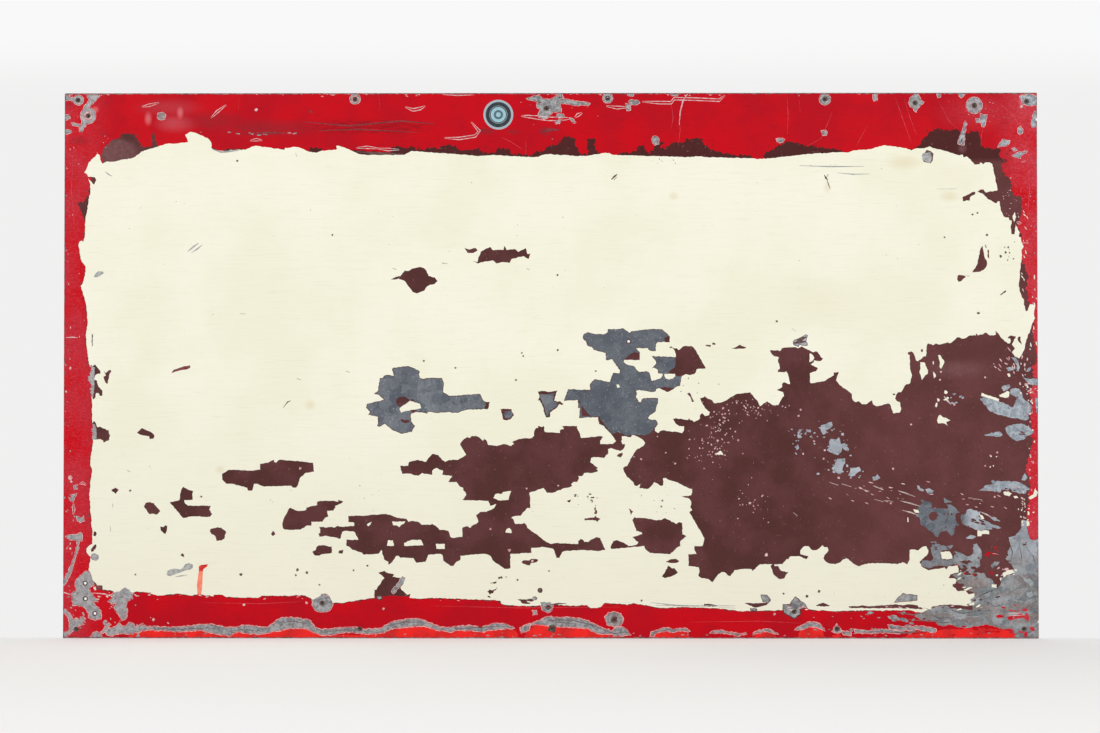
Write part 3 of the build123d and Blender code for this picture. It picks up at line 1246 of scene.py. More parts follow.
BAND_BOTTOM: Outline = (
    515, 516, 520, 516, 527, 508, 530, 508, 530, 499, 529, 493, 543, 488, 547, 493, 552, 493, 565, 488,
    570, 487, 572, 486, 571, 484, 573, 482, 577, 482, 579, 478, 578, 476, 582, 476, 584, 473, 592, 473,
    596, 472, 598, 471, 596, 469, 598, 468, 593, 464, 590, 462, 591, 458, 594, 457, 604, 458, 606, 455,
    608, 454, 608, 449, 611, 448, 620, 451, 622, 450, 624, 448, 625, 444, 622, 444, 621, 441, 622, 440,
)
FLAKE_LEFT: Outline = (
    622, 436, 625, 436, 628, 437, 631, 437, 632, 435, 636, 436, 640, 438, 643, 440, 645, 443, 643, 446,
    636, 450, 631, 458, 627, 466, 624, 467, 623, 468, 624, 472, 627, 477, 633, 482, 634, 485, 637, 486,
    640, 484, 639, 488, 642, 488, 647, 489, 650, 487, 654, 482, 656, 483, 661, 486, 663, 485, 663, 478,
    666, 478, 669, 480, 676, 482, 688, 488, 692, 489, 692, 492, 691, 495, 688, 496, 681, 496, 683, 497,
    688, 498, 690, 500, 691, 503, 690, 507, 692, 510, 689, 512, 704, 538, 702, 546, 694, 546, 694, 550,
    696, 554, 688, 554, 688, 566, 698, 567, 699, 571, 698, 576, 701, 578, 708, 579, 712, 582, 718, 574,
    721, 572, 724, 572, 727, 575, 730, 576, 734, 570, 740, 569, 751, 569, 752, 571, 760, 564, 771, 564,
    772, 564, 770, 566, 773, 574, 779, 579, 784, 578, 786, 574, 788, 572, 782, 571, 780, 570, 778, 566,
    774, 566, 774, 564, 782, 564, 786, 559, 788, 559, 790, 556, 793, 556, 799, 556, 803, 558, 806, 559,
    808, 556, 800, 554, 800, 550, 804, 546, 808, 546, 812, 550, 814, 550, 816, 550, 819, 548, 822, 545,
    824, 547, 827, 547, 828, 550, 827, 552, 824, 555, 823, 558, 824, 560, 828, 563, 835, 564, 840, 562,
    843, 559, 846, 558, 848, 559, 854, 564, 858, 566, 868, 563, 885, 563, 897, 564, 902, 562, 907, 564,
    909, 560, 909, 550, 911, 549, 918, 550, 920, 548, 924, 546, 926, 546, 928, 550, 927, 554, 919, 562,
    921, 566, 928, 570, 940, 568, 944, 567, 946, 569, 948, 566, 957, 565, 958, 568, 958, 572, 950, 574,
    948, 578, 954, 578, 956, 580, 955, 583, 952, 584, 952, 586, 955, 588, 956, 590, 958, 591, 965, 590,
    968, 594, 974, 593, 974, 596, 970, 599, 970, 603,
)
CREAM_BOTTOM: Outline = (
    966, 603, 968, 606, 950, 604, 938, 605, 932, 606, 930, 608, 922, 612, 915, 612, 910, 610, 871, 610,
    833, 611, 808, 609, 804, 604, 795, 596, 789, 604, 782, 604, 782, 610, 740, 611, 715, 608, 685, 607,
    660, 608, 633, 603, 628, 604, 627, 605, 623, 604, 604, 603, 600, 607, 595, 608, 590, 608, 586, 605,
    570, 606, 551, 604, 550, 602, 540, 602, 541, 605, 535, 606, 520, 606, 505, 605, 501, 604, 500, 601,
    492, 600, 485, 600, 460, 599, 428, 598, 420, 599, 409, 598, 410, 594, 407, 595, 401, 590, 400, 588,
    403, 584, 404, 581, 405, 578, 402, 576, 400, 578, 392, 577, 394, 575, 392, 574, 387, 573, 384, 571,
    378, 573, 384, 578, 382, 580, 380, 584, 378, 586, 376, 590, 374, 590, 374, 593, 374, 598, 347, 602,
    344, 603, 332, 603, 329, 596, 326, 594, 321, 594, 320, 596, 316, 598, 313, 600, 305, 596, 296, 595,
    290, 596, 280, 596, 270, 596, 261, 596, 258, 598, 240, 598, 225, 597, 222, 595, 215, 595, 205, 596,
    198, 594, 192, 596, 178, 594, 158, 596, 153, 595, 150, 593, 135, 592, 131, 593, 130, 592, 129, 590,
    124, 588, 121, 590, 119, 592, 116, 592, 114, 593, 111, 591, 102, 590, 102, 586, 97, 586, 92, 580, 90, 573,
)
CREAM_LEFT: Outline = (
    88, 570, 90, 560, 90, 557, 88, 555, 86, 552, 86, 549, 89, 546, 92, 544, 92, 535, 92, 530, 91, 525,
    91, 518, 90, 512, 90, 506, 89, 494, 90, 488, 90, 482, 92, 471, 90, 465, 91, 455, 93, 443, 92, 434,
    92, 424, 92, 420, 92, 400, 90, 383, 88, 378, 91, 373, 91, 370, 90, 366, 89, 364, 88, 355, 87, 347,
    86, 335, 88, 322, 86, 303, 81, 286, 83, 284, 84, 281, 86, 272, 86, 267, 82, 262, 81, 259, 80, 250,
    79, 245, 80, 242, 82, 241, 84, 242, 85, 238, 86, 220, 89, 203,
)
CREAM_EDGE: Outline = (
    *CREAM_TOP, *CREAM_RIGHT, *FLAKE_TOP, *BARE_PATCH_EDGE, *CHAIN_TOP, *CHAIN_BOTTOM,
    *STRIP_TOP, *BAND_BOTTOM, *FLAKE_LEFT, *CREAM_BOTTOM, *CREAM_LEFT,
)


# Flakes: places where the cream coat has come off down to the undercoat
FLAKES_FIELD: tuple[Outline, ...] = (
    (
        399, 279, 405, 270.5, 409, 271, 413, 268.5, 420, 267, 424, 268, 427, 271, 429, 276, 435, 277.5,
        438, 281, 435, 284, 430, 285, 427, 287, 425, 290.5, 417, 293.5, 413, 292, 405, 281,
    ),
    (391, 280, 396, 277, 400, 276, 401, 278, 396, 279.5),
    (
        473, 261, 478, 262, 479, 257, 482, 251, 491, 247, 493, 250, 504, 250, 505, 246, 507, 250, 515, 249,
        519, 252, 526, 248, 528, 254, 531, 253.5, 529, 259, 524, 256, 512, 259, 510, 263, 503, 262,
        497, 263.5, 493, 260.5, 485, 261.5, 478, 263.5,
    ),
    (465, 248, 470, 249.5, 476, 248, 478, 250.5, 474, 253, 468, 253),
    (
        222, 474, 229, 470, 233, 470, 248, 471, 260, 470, 260, 464, 268, 463, 274, 460, 274, 462, 276, 463,
        279, 460, 293, 461, 313, 463, 314, 472, 306, 473, 300, 478, 298, 485, 296, 488, 293, 488, 291, 486,
        289, 486, 264, 487, 257, 484, 254, 484, 252, 491, 248, 491, 247, 488, 231, 484, 226, 484, 222, 480,
    ),
    (
        137, 433, 141.5, 428.5, 149, 431.5, 153, 434, 154.5, 436, 153.5, 439, 149.5, 439.5, 149, 436.5,
        144, 436, 140, 435,
    ),
    (143.5, 507, 146, 503, 150, 502.5, 153.5, 503.5, 160, 511.5, 156.5, 515, 152, 514, 149, 514.5),
    (
        183, 487, 189, 490.5, 193, 491.5, 192, 495, 192.5, 500, 184, 500.5, 185, 504, 188, 506, 210.5, 506,
        209, 510, 212, 514.5, 210, 517, 206, 517.5, 199, 516.5, 190, 517, 183, 518.5, 180, 515.5,
        169.5, 502.5, 179, 500.5, 181, 490,
    ),
    (160, 527, 163, 527.5, 165, 525.5, 167, 526.5, 166.5, 531, 165, 534.5, 160.5, 531),
    (
        210, 529.5, 217, 527.5, 221, 528, 225, 531, 226, 533, 224.5, 536, 224, 539, 221, 541, 216, 541,
        215.5, 538, 214.5, 536, 211, 534.5, 209.5, 532,
    ),
    (271, 533.5, 272.5, 531, 274.5, 533, 275, 534.5, 272.5, 536.5, 271, 535),
    (180, 555.5, 182, 553.5, 183.5, 555, 184, 558),
    (
        283, 529, 282, 524, 283, 520, 288, 510, 290, 508, 297, 511, 302, 511, 306, 510, 306, 508, 314, 506,
        317, 505, 317, 502, 320, 501, 332, 501, 338, 502, 338, 500, 343, 502, 340, 504, 335, 506, 335, 508,
        333, 511, 327, 511, 328, 517, 325, 518, 322, 522, 311, 522, 311, 526, 306, 526, 304, 528, 300, 530,
        297, 530, 285, 530,
    ),
    (
        312, 552, 315, 550.5, 316, 547.5, 319, 545.5, 324, 545.5, 330, 547, 331.5, 546.5, 331.5, 553,
        326, 554, 321, 554.5, 319, 556, 314, 555.5,
    ),
    (338, 553.5, 338.5, 551, 343, 550, 342, 554), (111, 490.5, 115, 488, 118.5, 490, 115.5, 494.5),
    (87.5, 177, 94.5, 185, 97, 180.5, 95.5, 177.5),
)
FLAKES_MIDDLE: tuple[Outline, ...] = (
    (
        634, 517, 632, 520, 634, 525, 636, 531, 641, 532, 642, 534, 632, 537, 635, 540, 638, 542, 637, 544,
        631, 546, 628, 546, 624, 543, 616, 540, 613, 541, 610, 547, 611, 549, 644, 546, 645, 549, 650, 553,
        665, 554, 670, 554, 676, 548, 680, 546, 680, 541, 686, 536, 682, 534, 682, 523, 679, 522, 676, 524,
        665, 518, 660, 520, 655, 520, 645, 518, 636, 518,
    ),
    (628.5, 508.5, 633, 511.5, 631.5, 513, 630.5, 515.5),
    (
        584, 518.5, 594, 517.5, 595, 515.5, 596.5, 517.5, 600, 519, 598, 520.5, 597, 522, 595.5, 520.5,
        592, 520, 584.5, 520.5,
    ),
    (595.5, 509, 597, 512, 596, 514.5, 594.5, 512),
    (616.5, 456, 619, 453.5, 622.5, 452.5, 622.5, 455, 620.5, 457.5),
    (668, 565.5, 671, 568, 674, 568, 677.5, 572.5, 674, 575, 669, 577, 664, 578, 661.5, 576.5, 664, 573),
    (665, 562, 671, 559, 676, 559, 679, 561, 677, 562.5, 673, 563), (566.5, 501, 571, 499.5, 569.5, 502.5),
    (
        521, 562, 523, 560.5, 529, 560.5, 530.5, 559, 536, 559, 538, 560, 536.5, 562, 533, 563, 530.5, 563,
        529.5, 565.5, 526, 565, 523, 564,
    ),
    (
        489, 589.5, 492, 590.5, 495.5, 589, 496, 590, 493.5, 591, 492.5, 593.5, 490.5, 593.5, 489.5, 595,
        488, 592.5, 486.5, 592,
    ),
    (486.5, 596, 489, 596, 490.5, 598, 488, 597.5), (491.5, 582.5, 496, 581.5, 496, 583, 493.5, 584),
    (731.5, 348.5, 736, 347, 740, 344.5, 746.5, 347, 744, 348.5),
    (706, 344.5, 711, 345, 711, 346.5, 706, 346), (712.5, 342.5, 715.5, 343, 715.5, 345, 712.5, 344.5),
    (687, 393.5, 689.5, 392.5, 691, 394.5, 693, 400, 694.5, 401, 692, 402, 690, 396.5),
)
FLAKES_RIGHT: tuple[Outline, ...] = (
    (
        963, 196.5, 966, 195.5, 973, 191.5, 976, 191.5, 975.5, 194, 972, 195.5, 970.5, 197, 970, 200.5,
        967, 200, 963.5, 201,
    ),
    (
        983, 245.5, 981, 248, 977.5, 264, 972.5, 272, 981, 271, 984, 269.5, 986, 267.5, 987.5, 263.5,
        987, 260, 985, 257,
    ),
    (988, 249, 989.5, 250, 989.5, 258, 988, 257), (985, 244, 986.5, 245, 987, 248, 986, 247.5),
    (958, 275, 959.5, 274.5, 964, 275, 966, 277, 963, 279, 961, 281, 959, 281.5, 957.5, 279.5),
    (1000.5, 294, 1006, 290, 1006.5, 291, 1001, 295),
    (1017.5, 338, 1019, 336, 1021, 336.5, 1020.5, 339.5, 1022, 344.5, 1018, 340),
    (921, 349, 923, 349, 923, 351.5, 921, 351.5),
)
FLAKES_LEFT: tuple[Outline, ...] = (
    (
        91, 365, 92.5, 366.5, 95.5, 365, 100.5, 371.5, 100.5, 374, 97, 374.5, 95.5, 375.5, 94.5, 380, 97, 381,
        98.5, 387, 102.5, 391, 102.5, 396, 100, 396.5, 98.5, 393.5, 96, 393.5, 95.5, 398, 93.5, 400,
        89.5, 392, 89, 384, 87, 380, 89, 375,
    ),
    (
        104, 370.5, 106, 373.5, 108.5, 371, 110.5, 370, 111.5, 372, 109.5, 375, 107.5, 384.5, 105.5, 383,
        103.5, 377, 106, 376,
    ),
    (
        94, 421.5, 96, 424, 97, 427.5, 100, 427, 108, 431, 108.5, 429.5, 109, 434, 110, 436, 109, 440.5,
        106, 441.5, 103.5, 443, 103, 441, 100, 439.5, 95, 440, 91.5, 439.5, 90.5, 434, 91.5, 424,
    ),
    (93.5, 532, 95.5, 532, 96.5, 534.5, 95, 537, 93, 536),
    (95.5, 544.5, 96, 547.5, 93.5, 551.5, 91, 552.5, 90.5, 550, 92.5, 547),
    (91, 554.5, 94, 553.5, 98, 555.5, 98.5, 559, 95.5, 561.5, 92, 560.5, 90, 557.5),
    (92, 334, 93, 335, 93, 346, 92, 347),
)
FLAKES_BOTTOM: tuple[Outline, ...] = (
    (
        848, 606, 856, 606, 862, 605, 868, 606, 896, 604, 902, 605, 908, 604, 917, 605, 918, 607, 929, 608,
        927, 609, 892, 608, 849, 608,
    ),
    (815, 605.5, 822, 602.5, 829.5, 605.5, 823.5, 606.5),
    (703.5, 603.5, 716.5, 605, 716, 606.5, 703.5, 606.5),
    (744, 603, 768, 603, 766, 605, 758, 607, 754, 607.5),
    (516, 599.5, 532, 599, 533.5, 601, 530, 602, 529.5, 604, 525, 604, 521.5, 603.5, 520, 601),
    (322, 594, 325, 593.5, 327, 594.5, 326, 596, 322.5, 596),
)
BARE_THROUGH_CREAM: tuple[Outline, ...] = (
    (
        392, 370, 393, 368, 408, 366, 418, 370, 420, 372, 419, 374, 420, 378, 423, 379, 428, 378, 442, 378,
        444, 384, 443, 392, 450, 396, 480, 394, 482, 398, 484, 401, 486, 402, 490, 402, 488, 409, 466, 410,
        460, 412, 458, 413, 452, 413, 449, 412, 436, 413, 430, 412, 428, 412, 427, 414, 424, 413, 416, 412,
        411, 414, 411, 421, 415, 426, 413, 429, 412, 432, 401, 434, 392, 430, 385, 424, 379, 427, 377, 426,
        378, 424, 378, 417, 374, 416, 368, 415, 370, 412, 366, 408, 367, 404, 384, 400, 379, 395, 374, 394,
        378, 391, 380, 378, 383, 378, 384, 376, 388, 375, 394, 376,
    ),
    (
        793, 342, 794.5, 339.5, 801, 337, 806, 334, 808, 335, 806.5, 341.5, 808, 343.5, 807.5, 345.5,
        804, 345.5, 800, 344.5, 798.5, 347, 793.5, 344.5,
    ),
    (
        782, 604, 789, 604.5, 791, 600.5, 795, 596.5, 798.5, 599.5, 804.5, 603.5, 806.5, 607, 799.5, 609.5,
        800, 614, 794, 618.5, 783, 613, 782, 608,
    ),
    (760, 594.5, 766, 594.5, 768.5, 597, 770.5, 600, 768, 603, 762, 602),
    (893, 602.5, 897, 597.5, 903, 592.5, 906, 594, 912, 594, 917, 595, 917, 600, 911, 601),
    (532, 597, 535, 596.5, 537, 598, 536, 600, 532.5, 600),
    (376, 596, 380, 595.5, 382, 597.5, 380, 600, 376.5, 599.5),
    (749.5, 608, 754, 608, 757, 609, 756, 611, 750, 611),
)

# Where the undercoat is still there inside the bare patch left of the middle, and a wedge of cream on it
UNDERCOAT_IN_LEFT_PATCH: tuple[Outline, ...] = (
    (396, 403, 397, 399, 400, 397, 404, 396.5, 408, 398.5, 410, 400.5, 403, 405, 400, 407.5, 398, 406),
    (400, 418.5, 404, 420, 409, 420, 409.5, 422.5, 405, 423.5, 401.5, 422),
    (410.5, 399, 413, 399.5, 416, 402, 412, 401.5), (410, 410, 417, 409, 416, 412.5, 412, 412.5),
    (485.5, 402.5, 490, 401.5, 488, 408.5, 484, 408.5, 486, 405),
)
CREAM_IN_LEFT_PATCH: Outline = (
    400, 408, 410, 401, 420, 404, 421, 408.5, 406, 411, 401, 413, 399.5, 410,
)

# Two flakes right of it that are bare in their middles
MIXED_FLAKES: tuple[Outline, ...] = (
    (500.5, 409, 511.5, 409, 512, 412, 514, 415.5, 510, 419.5, 507, 420.5, 503, 419.5),
    (
        538, 391.5, 543, 391, 548, 392, 557.5, 390.5, 554, 400.5, 557, 401.5, 560, 401, 563.5, 404.5,
        561.5, 405, 559.5, 404, 557.5, 407, 550, 412.5, 550, 417, 546, 417.5, 543.5, 411, 543.5, 408,
        540, 400.5, 538, 400.5, 539.5, 397.5, 539.5, 395,
    ),
)
MIXED_FLAKES_BARE: tuple[Outline, ...] = (
    (505, 411.5, 511, 411, 512.5, 415, 509, 418.5, 505.5, 418, 503.5, 414.5),
    (
        540.5, 394, 547, 394.5, 554.5, 393, 553, 401, 557, 402, 558, 405, 552.5, 409.5, 549, 411.5,
        548.5, 416, 546.5, 416, 545, 411, 544.5, 407, 540.5, 398,
    ),
    (88, 366, 92, 366.5, 95, 368, 94, 393, 92.5, 398.5, 89.5, 392, 87.5, 380),
    (91, 424, 95, 424.5, 96.5, 430, 96.5, 439, 92, 439.5, 90.5, 432),
    (91, 554.5, 94, 553.5, 98, 555.5, 98.5, 559, 95.5, 561.5, 92, 560.5, 90, 557.5),
)

# The dark bare patch in the middle of the field, down to its lower rim, and what is left on it
BARE_PATCH_LOWER_RIM: Outline = (
    613, 434, 618, 432.5, 626, 436, 632, 435, 645, 436, 650, 434,
)
UNDERCOAT_ON_BARE_PATCH: tuple[Outline, ...] = (
    (
        675.5, 357, 676, 362, 675, 367, 671, 369.5, 668, 373, 672, 376, 690, 376, 697, 371, 707, 369,
        704, 360, 698, 350, 692, 344, 676, 346, 672, 345.5, 669, 347.5, 673, 348.5, 676, 354,
    ),
    (624.5, 359.5, 629, 355, 634, 352, 639, 352.5, 640.5, 356, 640.5, 360, 632, 361),
    (655, 391, 659, 387.5, 666, 387, 672, 388, 676, 387, 673, 389.5, 667, 392.5, 663, 390),
    (664.5, 337.5, 668, 336, 671, 337, 670.5, 342, 665, 342),
    (577, 400, 580.5, 401, 582, 416, 599.5, 416.5, 601, 420, 612, 434, 606, 433, 598, 425),
)
CREAM_ON_BARE_PATCH: tuple[Outline, ...] = (
    (664.5, 374, 675, 373.5, 675.5, 376, 673, 378.5, 669, 379.5, 666, 378.5, 664.5, 376),
    (628, 339, 630, 339, 630, 341, 628, 341), (616.5, 384.5, 619, 384.5, 620, 387, 617.5, 388),
)


# Islands of cream left on the bared undercoat
CREAM_ISLANDS: tuple[Outline, ...] = (
    (366.5, 525, 369, 523, 371.5, 522, 370, 525, 368, 526.5),
    (392, 521.5, 396, 522, 405, 521.5, 403.5, 524, 400.5, 525.5, 399, 527.5, 396, 525.5, 393, 525.5),
    (386.5, 546, 387.5, 540.5, 392.5, 540.5, 393.5, 546),
    (404, 546, 404, 543, 411, 540, 415, 540, 420.5, 540, 423, 545.5),
    (436, 549, 435.5, 544, 444.5, 544, 444.5, 549),
    (493, 498, 495.5, 494, 498, 493.5, 501.5, 494, 503, 492, 511, 491, 509, 496.5, 508.5, 500, 499, 500.5),
    (505, 532.5, 506, 529.5, 509, 528, 511, 530, 511.5, 533),
    (810, 353, 812.5, 354.5, 814.5, 358, 812, 361, 809.5, 362),
    (
        940, 414.5, 943, 417, 946, 417.5, 950.5, 420, 946, 421.5, 947.5, 425.5, 944, 423, 938, 423, 937, 420,
        938, 416.5,
    ),
    (920, 362, 924.5, 362, 928, 370, 928, 373, 924.5, 376, 922, 380, 921, 376, 919.5, 372.5, 920.5, 367),
    (938, 355, 940, 354.5, 942, 358, 944.5, 361, 943, 365, 941, 368.5, 939.5, 366.5, 940, 362),
    (933, 371, 935, 373, 936, 376, 934, 378), (933, 361, 934, 361, 934, 364, 933, 364),
    (943, 399.5, 946, 398, 947.5, 400.5), (936, 402.5, 937.5, 402.5, 936.5, 407, 935, 406),
    (940, 551.5, 949, 551, 951, 554, 952, 558, 946, 559, 941, 558),
    (907, 517, 908, 517.5, 908, 522, 907, 521.5), (981.5, 392.5, 999, 398.5, 998.5, 401, 981, 395.5),
    (1003.5, 393, 1007, 390.5, 1009.5, 391.5, 1009, 396, 1006, 397.5, 1000, 396.5, 999, 394.5),
    (1007, 373.5, 1009.5, 373, 1010.5, 376, 1008.5, 376.5),
    (1003, 491.5, 1008, 491, 1011.5, 493, 1009, 496, 1004, 494.5),
    (1013, 496, 1016.5, 495.5, 1018, 497.5, 1014.5, 498), (978.5, 514, 982, 515, 984, 518.5, 981, 518.5),
    (977, 530, 981, 531, 985, 529.5, 988.5, 530.5, 988.5, 534, 982, 533.5, 980.5, 536, 977, 536),
    (913, 509, 918, 510, 919, 512.5, 915, 512.5),
    (1002, 573, 1006, 570.5, 1010, 569.5, 1013, 571.5, 1011, 573.5, 1006, 574.5, 1003, 577),
    (999, 578, 1001, 577, 1000, 581), (991, 584, 996, 584, 996, 587.5, 991, 587),
    (1015, 211.5, 1013, 216, 1014.5, 221.5, 1016.5, 216.5),
    (1036, 484, 1035, 489, 1037.5, 492, 1036, 496, 1030, 499, 1028, 497, 1033, 494),
    (1027, 511, 1028.5, 511, 1029, 514, 1027.5, 515), (1026, 520, 1028.5, 521, 1029, 525, 1026.5, 526),
    (715, 454, 720.5, 450.5, 723.5, 455),
)

# Bare metal on the right, where the undercoat has come off too
BARE_RIGHT: tuple[Outline, ...] = (
    (
        980, 398, 989, 410, 998, 414.5, 1026, 420, 1029, 417.5, 1028, 414, 1031, 411, 1032, 406, 1029, 402,
        1025, 400, 1022.5, 396, 1021.5, 392, 1020, 389.5, 1017, 388, 1012, 388, 1010, 389.5, 1010, 393,
        1017, 398.5, 1013.5, 406.5, 1010, 406, 1007, 404, 992, 398, 985, 396.5,
    ),
    (1001, 387.5, 1004, 385, 1009, 384, 1010.5, 386, 1008, 389, 1004, 391),
    (1006, 367.5, 1010, 366.5, 1014, 367, 1013.5, 370, 1008, 371),
    (1011, 357, 1014, 360, 1017, 366, 1016, 371, 1019, 371, 1020, 366, 1018, 361, 1015, 357),
    (1026, 371, 1028, 367.5, 1031, 366, 1031, 369, 1028, 371.5),
    (1022, 376, 1028, 378, 1040, 378, 1040, 385, 1030, 384), (1035, 398, 1040, 398, 1040, 412, 1036, 412),
    (
        1005, 428, 1008, 425.5, 1013, 424, 1021, 423, 1027, 425.5, 1031, 428.5, 1034, 432.5, 1026, 436,
        1023, 439.5, 1017, 441, 1012, 438.5, 1006, 431.5,
    ),
    (984, 434.5, 995, 431.5, 1000, 431.5, 1002.5, 434.5, 999, 436.5, 987, 435.5),
    (1024.5, 472.5, 1027, 477.5, 1025, 480, 1021, 479.5),
    (
        978, 490, 983, 488, 985, 485, 993, 483.5, 991, 481, 992, 479.5, 995, 481, 1005, 480.5, 1013, 481,
        1021, 482.5, 1030, 488.5, 1026, 490, 1025, 493, 1020, 493.5, 1009, 490, 1001, 489, 1000, 492,
        991, 490.5,
    ),
    (
        917, 508, 922, 503, 920, 499.5, 932, 502.5, 931, 506, 933, 508, 941, 508, 946, 509, 948, 507,
        945.5, 504, 950, 504, 960, 512, 956, 513, 955, 517, 956, 521, 959, 525, 955, 525, 954, 528, 954, 533,
        951, 536, 946, 530, 941, 531, 937, 537, 934, 535, 933, 532, 928, 530, 925, 527, 921, 525, 919, 517,
        915, 515.5, 918, 513,
    ),
    (943.5, 497, 947, 499.5, 952, 502, 944, 502.5),
    (916.5, 485, 919, 485.5, 920, 488, 924, 489.5, 923, 491, 919, 490, 917, 488),
    (925, 489, 929, 488, 934, 490.5, 932, 493, 927, 493),
    (
        961, 514, 965, 513.5, 966, 510.5, 969, 508.5, 976, 510, 980, 512, 978, 515, 981, 518.5, 1001, 527.5,
        997, 528.5, 991, 526.5, 992, 529, 986, 529, 980, 530.5, 974, 529, 962, 523.5, 960.5, 519,
    ),
    (989, 517, 994, 516.5, 1000, 521, 995, 520.5),
    (965, 537.5, 970, 534.5, 976, 536.5, 973, 538.5, 967, 538.5),
    (990, 565, 994, 561, 999, 561, 998, 564, 992, 568),
)
UNDERCOAT_IN_BARE_RIGHT: Outline = (
    928, 515, 931, 512, 936, 511.5, 938, 514.5, 936, 519, 932, 521, 929, 518.5,
)
BARE_CORNER: Outline = (
    1021, 520, 1025, 520, 1026, 523, 1028, 534, 1029, 538, 1034, 540, 1040, 537, 1040, 641, 1015, 641,
    1013, 630, 1008, 628, 1002, 629, 997, 627, 985, 624, 965, 628, 958, 627, 955, 626, 948, 624, 942, 626,
    938, 625, 936, 622, 930, 620, 925, 620, 919, 619, 914, 616, 915, 614, 925, 611, 930, 608, 936, 606,
    943, 605, 948, 606, 955, 607, 960, 606, 972, 609, 972, 604, 970, 600, 974, 593, 966, 589, 964, 589,
    962, 586, 957, 582, 955, 577, 952, 575, 958, 572, 965, 571, 968, 568, 960, 568, 958, 565, 952, 564,
    948, 567, 945, 566, 938, 565, 933, 566, 928, 568, 924, 567, 920, 564, 922, 560, 926, 560, 930, 561,
    933, 558, 930, 548, 932, 545, 929, 542, 935, 541, 939, 544, 945, 546, 953, 545, 951, 548, 944, 550,
    940, 551, 940, 558, 948, 560, 952, 558, 956, 553, 952, 552, 956, 551, 968, 556, 972, 554, 973, 544,
    976, 543, 979, 547, 981, 552, 981, 558, 979, 561, 980, 565, 975, 568, 972, 572, 984, 573, 986, 577,
    991, 579, 997, 588, 1000, 584, 1001, 578, 1005, 576, 1013, 574, 1014, 570, 1012, 566, 1005, 558,
    1008, 555, 1007, 551, 1010, 546, 1008, 537, 1013, 536, 1018, 532, 1021, 527,
)
UNDERCOAT_IN_CORNER: tuple[Outline, ...] = (
    (957, 561.5, 964, 560, 972, 561.5, 965, 563.5),
    (955.5, 586, 958, 583, 963, 583.5, 964, 587.5, 956.5, 591.5),
    (945, 604, 958, 603.5, 972, 605, 972, 610, 962, 608.5, 950, 608),
)
RED_IN_CORNER: tuple[Outline, ...] = (
    (995.5, 615, 999, 614, 1004, 615.5, 1001, 617.5, 996, 617.5),
    (
        1006, 617, 1010, 615.5, 1017, 615.5, 1017, 612.5, 1021, 613, 1024, 615, 1026, 612, 1029, 617,
        1028, 620.5, 1022, 617.5, 1013, 619, 1009, 620.5,
    ),
    (1029, 627, 1031.5, 626, 1034, 628, 1033, 631, 1030, 630),
    (1023, 632, 1026, 631, 1027, 634, 1026, 637, 1023.5, 636),
)
BARE_SPECKS: tuple[Outline, ...] = (
    (
        821, 425, 826, 424, 829, 422, 831.5, 421.5, 832.5, 425.5, 830, 428, 826, 430, 825.5, 433.5,
        823, 434.5, 821, 431, 820, 428,
    ),
    (
        826.5, 450, 829.5, 446.5, 829, 441, 831, 438.5, 836, 439.5, 839, 436.5, 841, 444, 845, 443, 849, 449,
        848, 451, 845, 450, 842, 447, 841, 452, 838, 455, 833, 453.5,
    ),
    (837, 458.5, 845, 458, 845, 463, 843, 466, 842, 471, 840, 474, 833, 470.5, 831.5, 468, 834, 466),
    (848, 475, 850, 471, 850, 467.5, 856, 467.5, 859, 466.5, 861, 470, 857, 472.5, 854, 475.5, 851, 477),
    (872, 476.5, 875, 476.5, 877, 474, 880, 478, 877, 479.5, 873, 480.5),
    (797, 435.5, 799, 429, 803, 429, 801, 431, 799, 434, 802, 437, 798, 438),
    (806, 429, 810.5, 429.5, 811, 432, 806.5, 431.5), (795.5, 446, 798, 445, 799, 448, 796.5, 450),
    (841, 433, 843.5, 432.5, 844, 435, 841.5, 435.5), (846, 464, 848, 464.5, 848, 467, 846, 466.5),
)


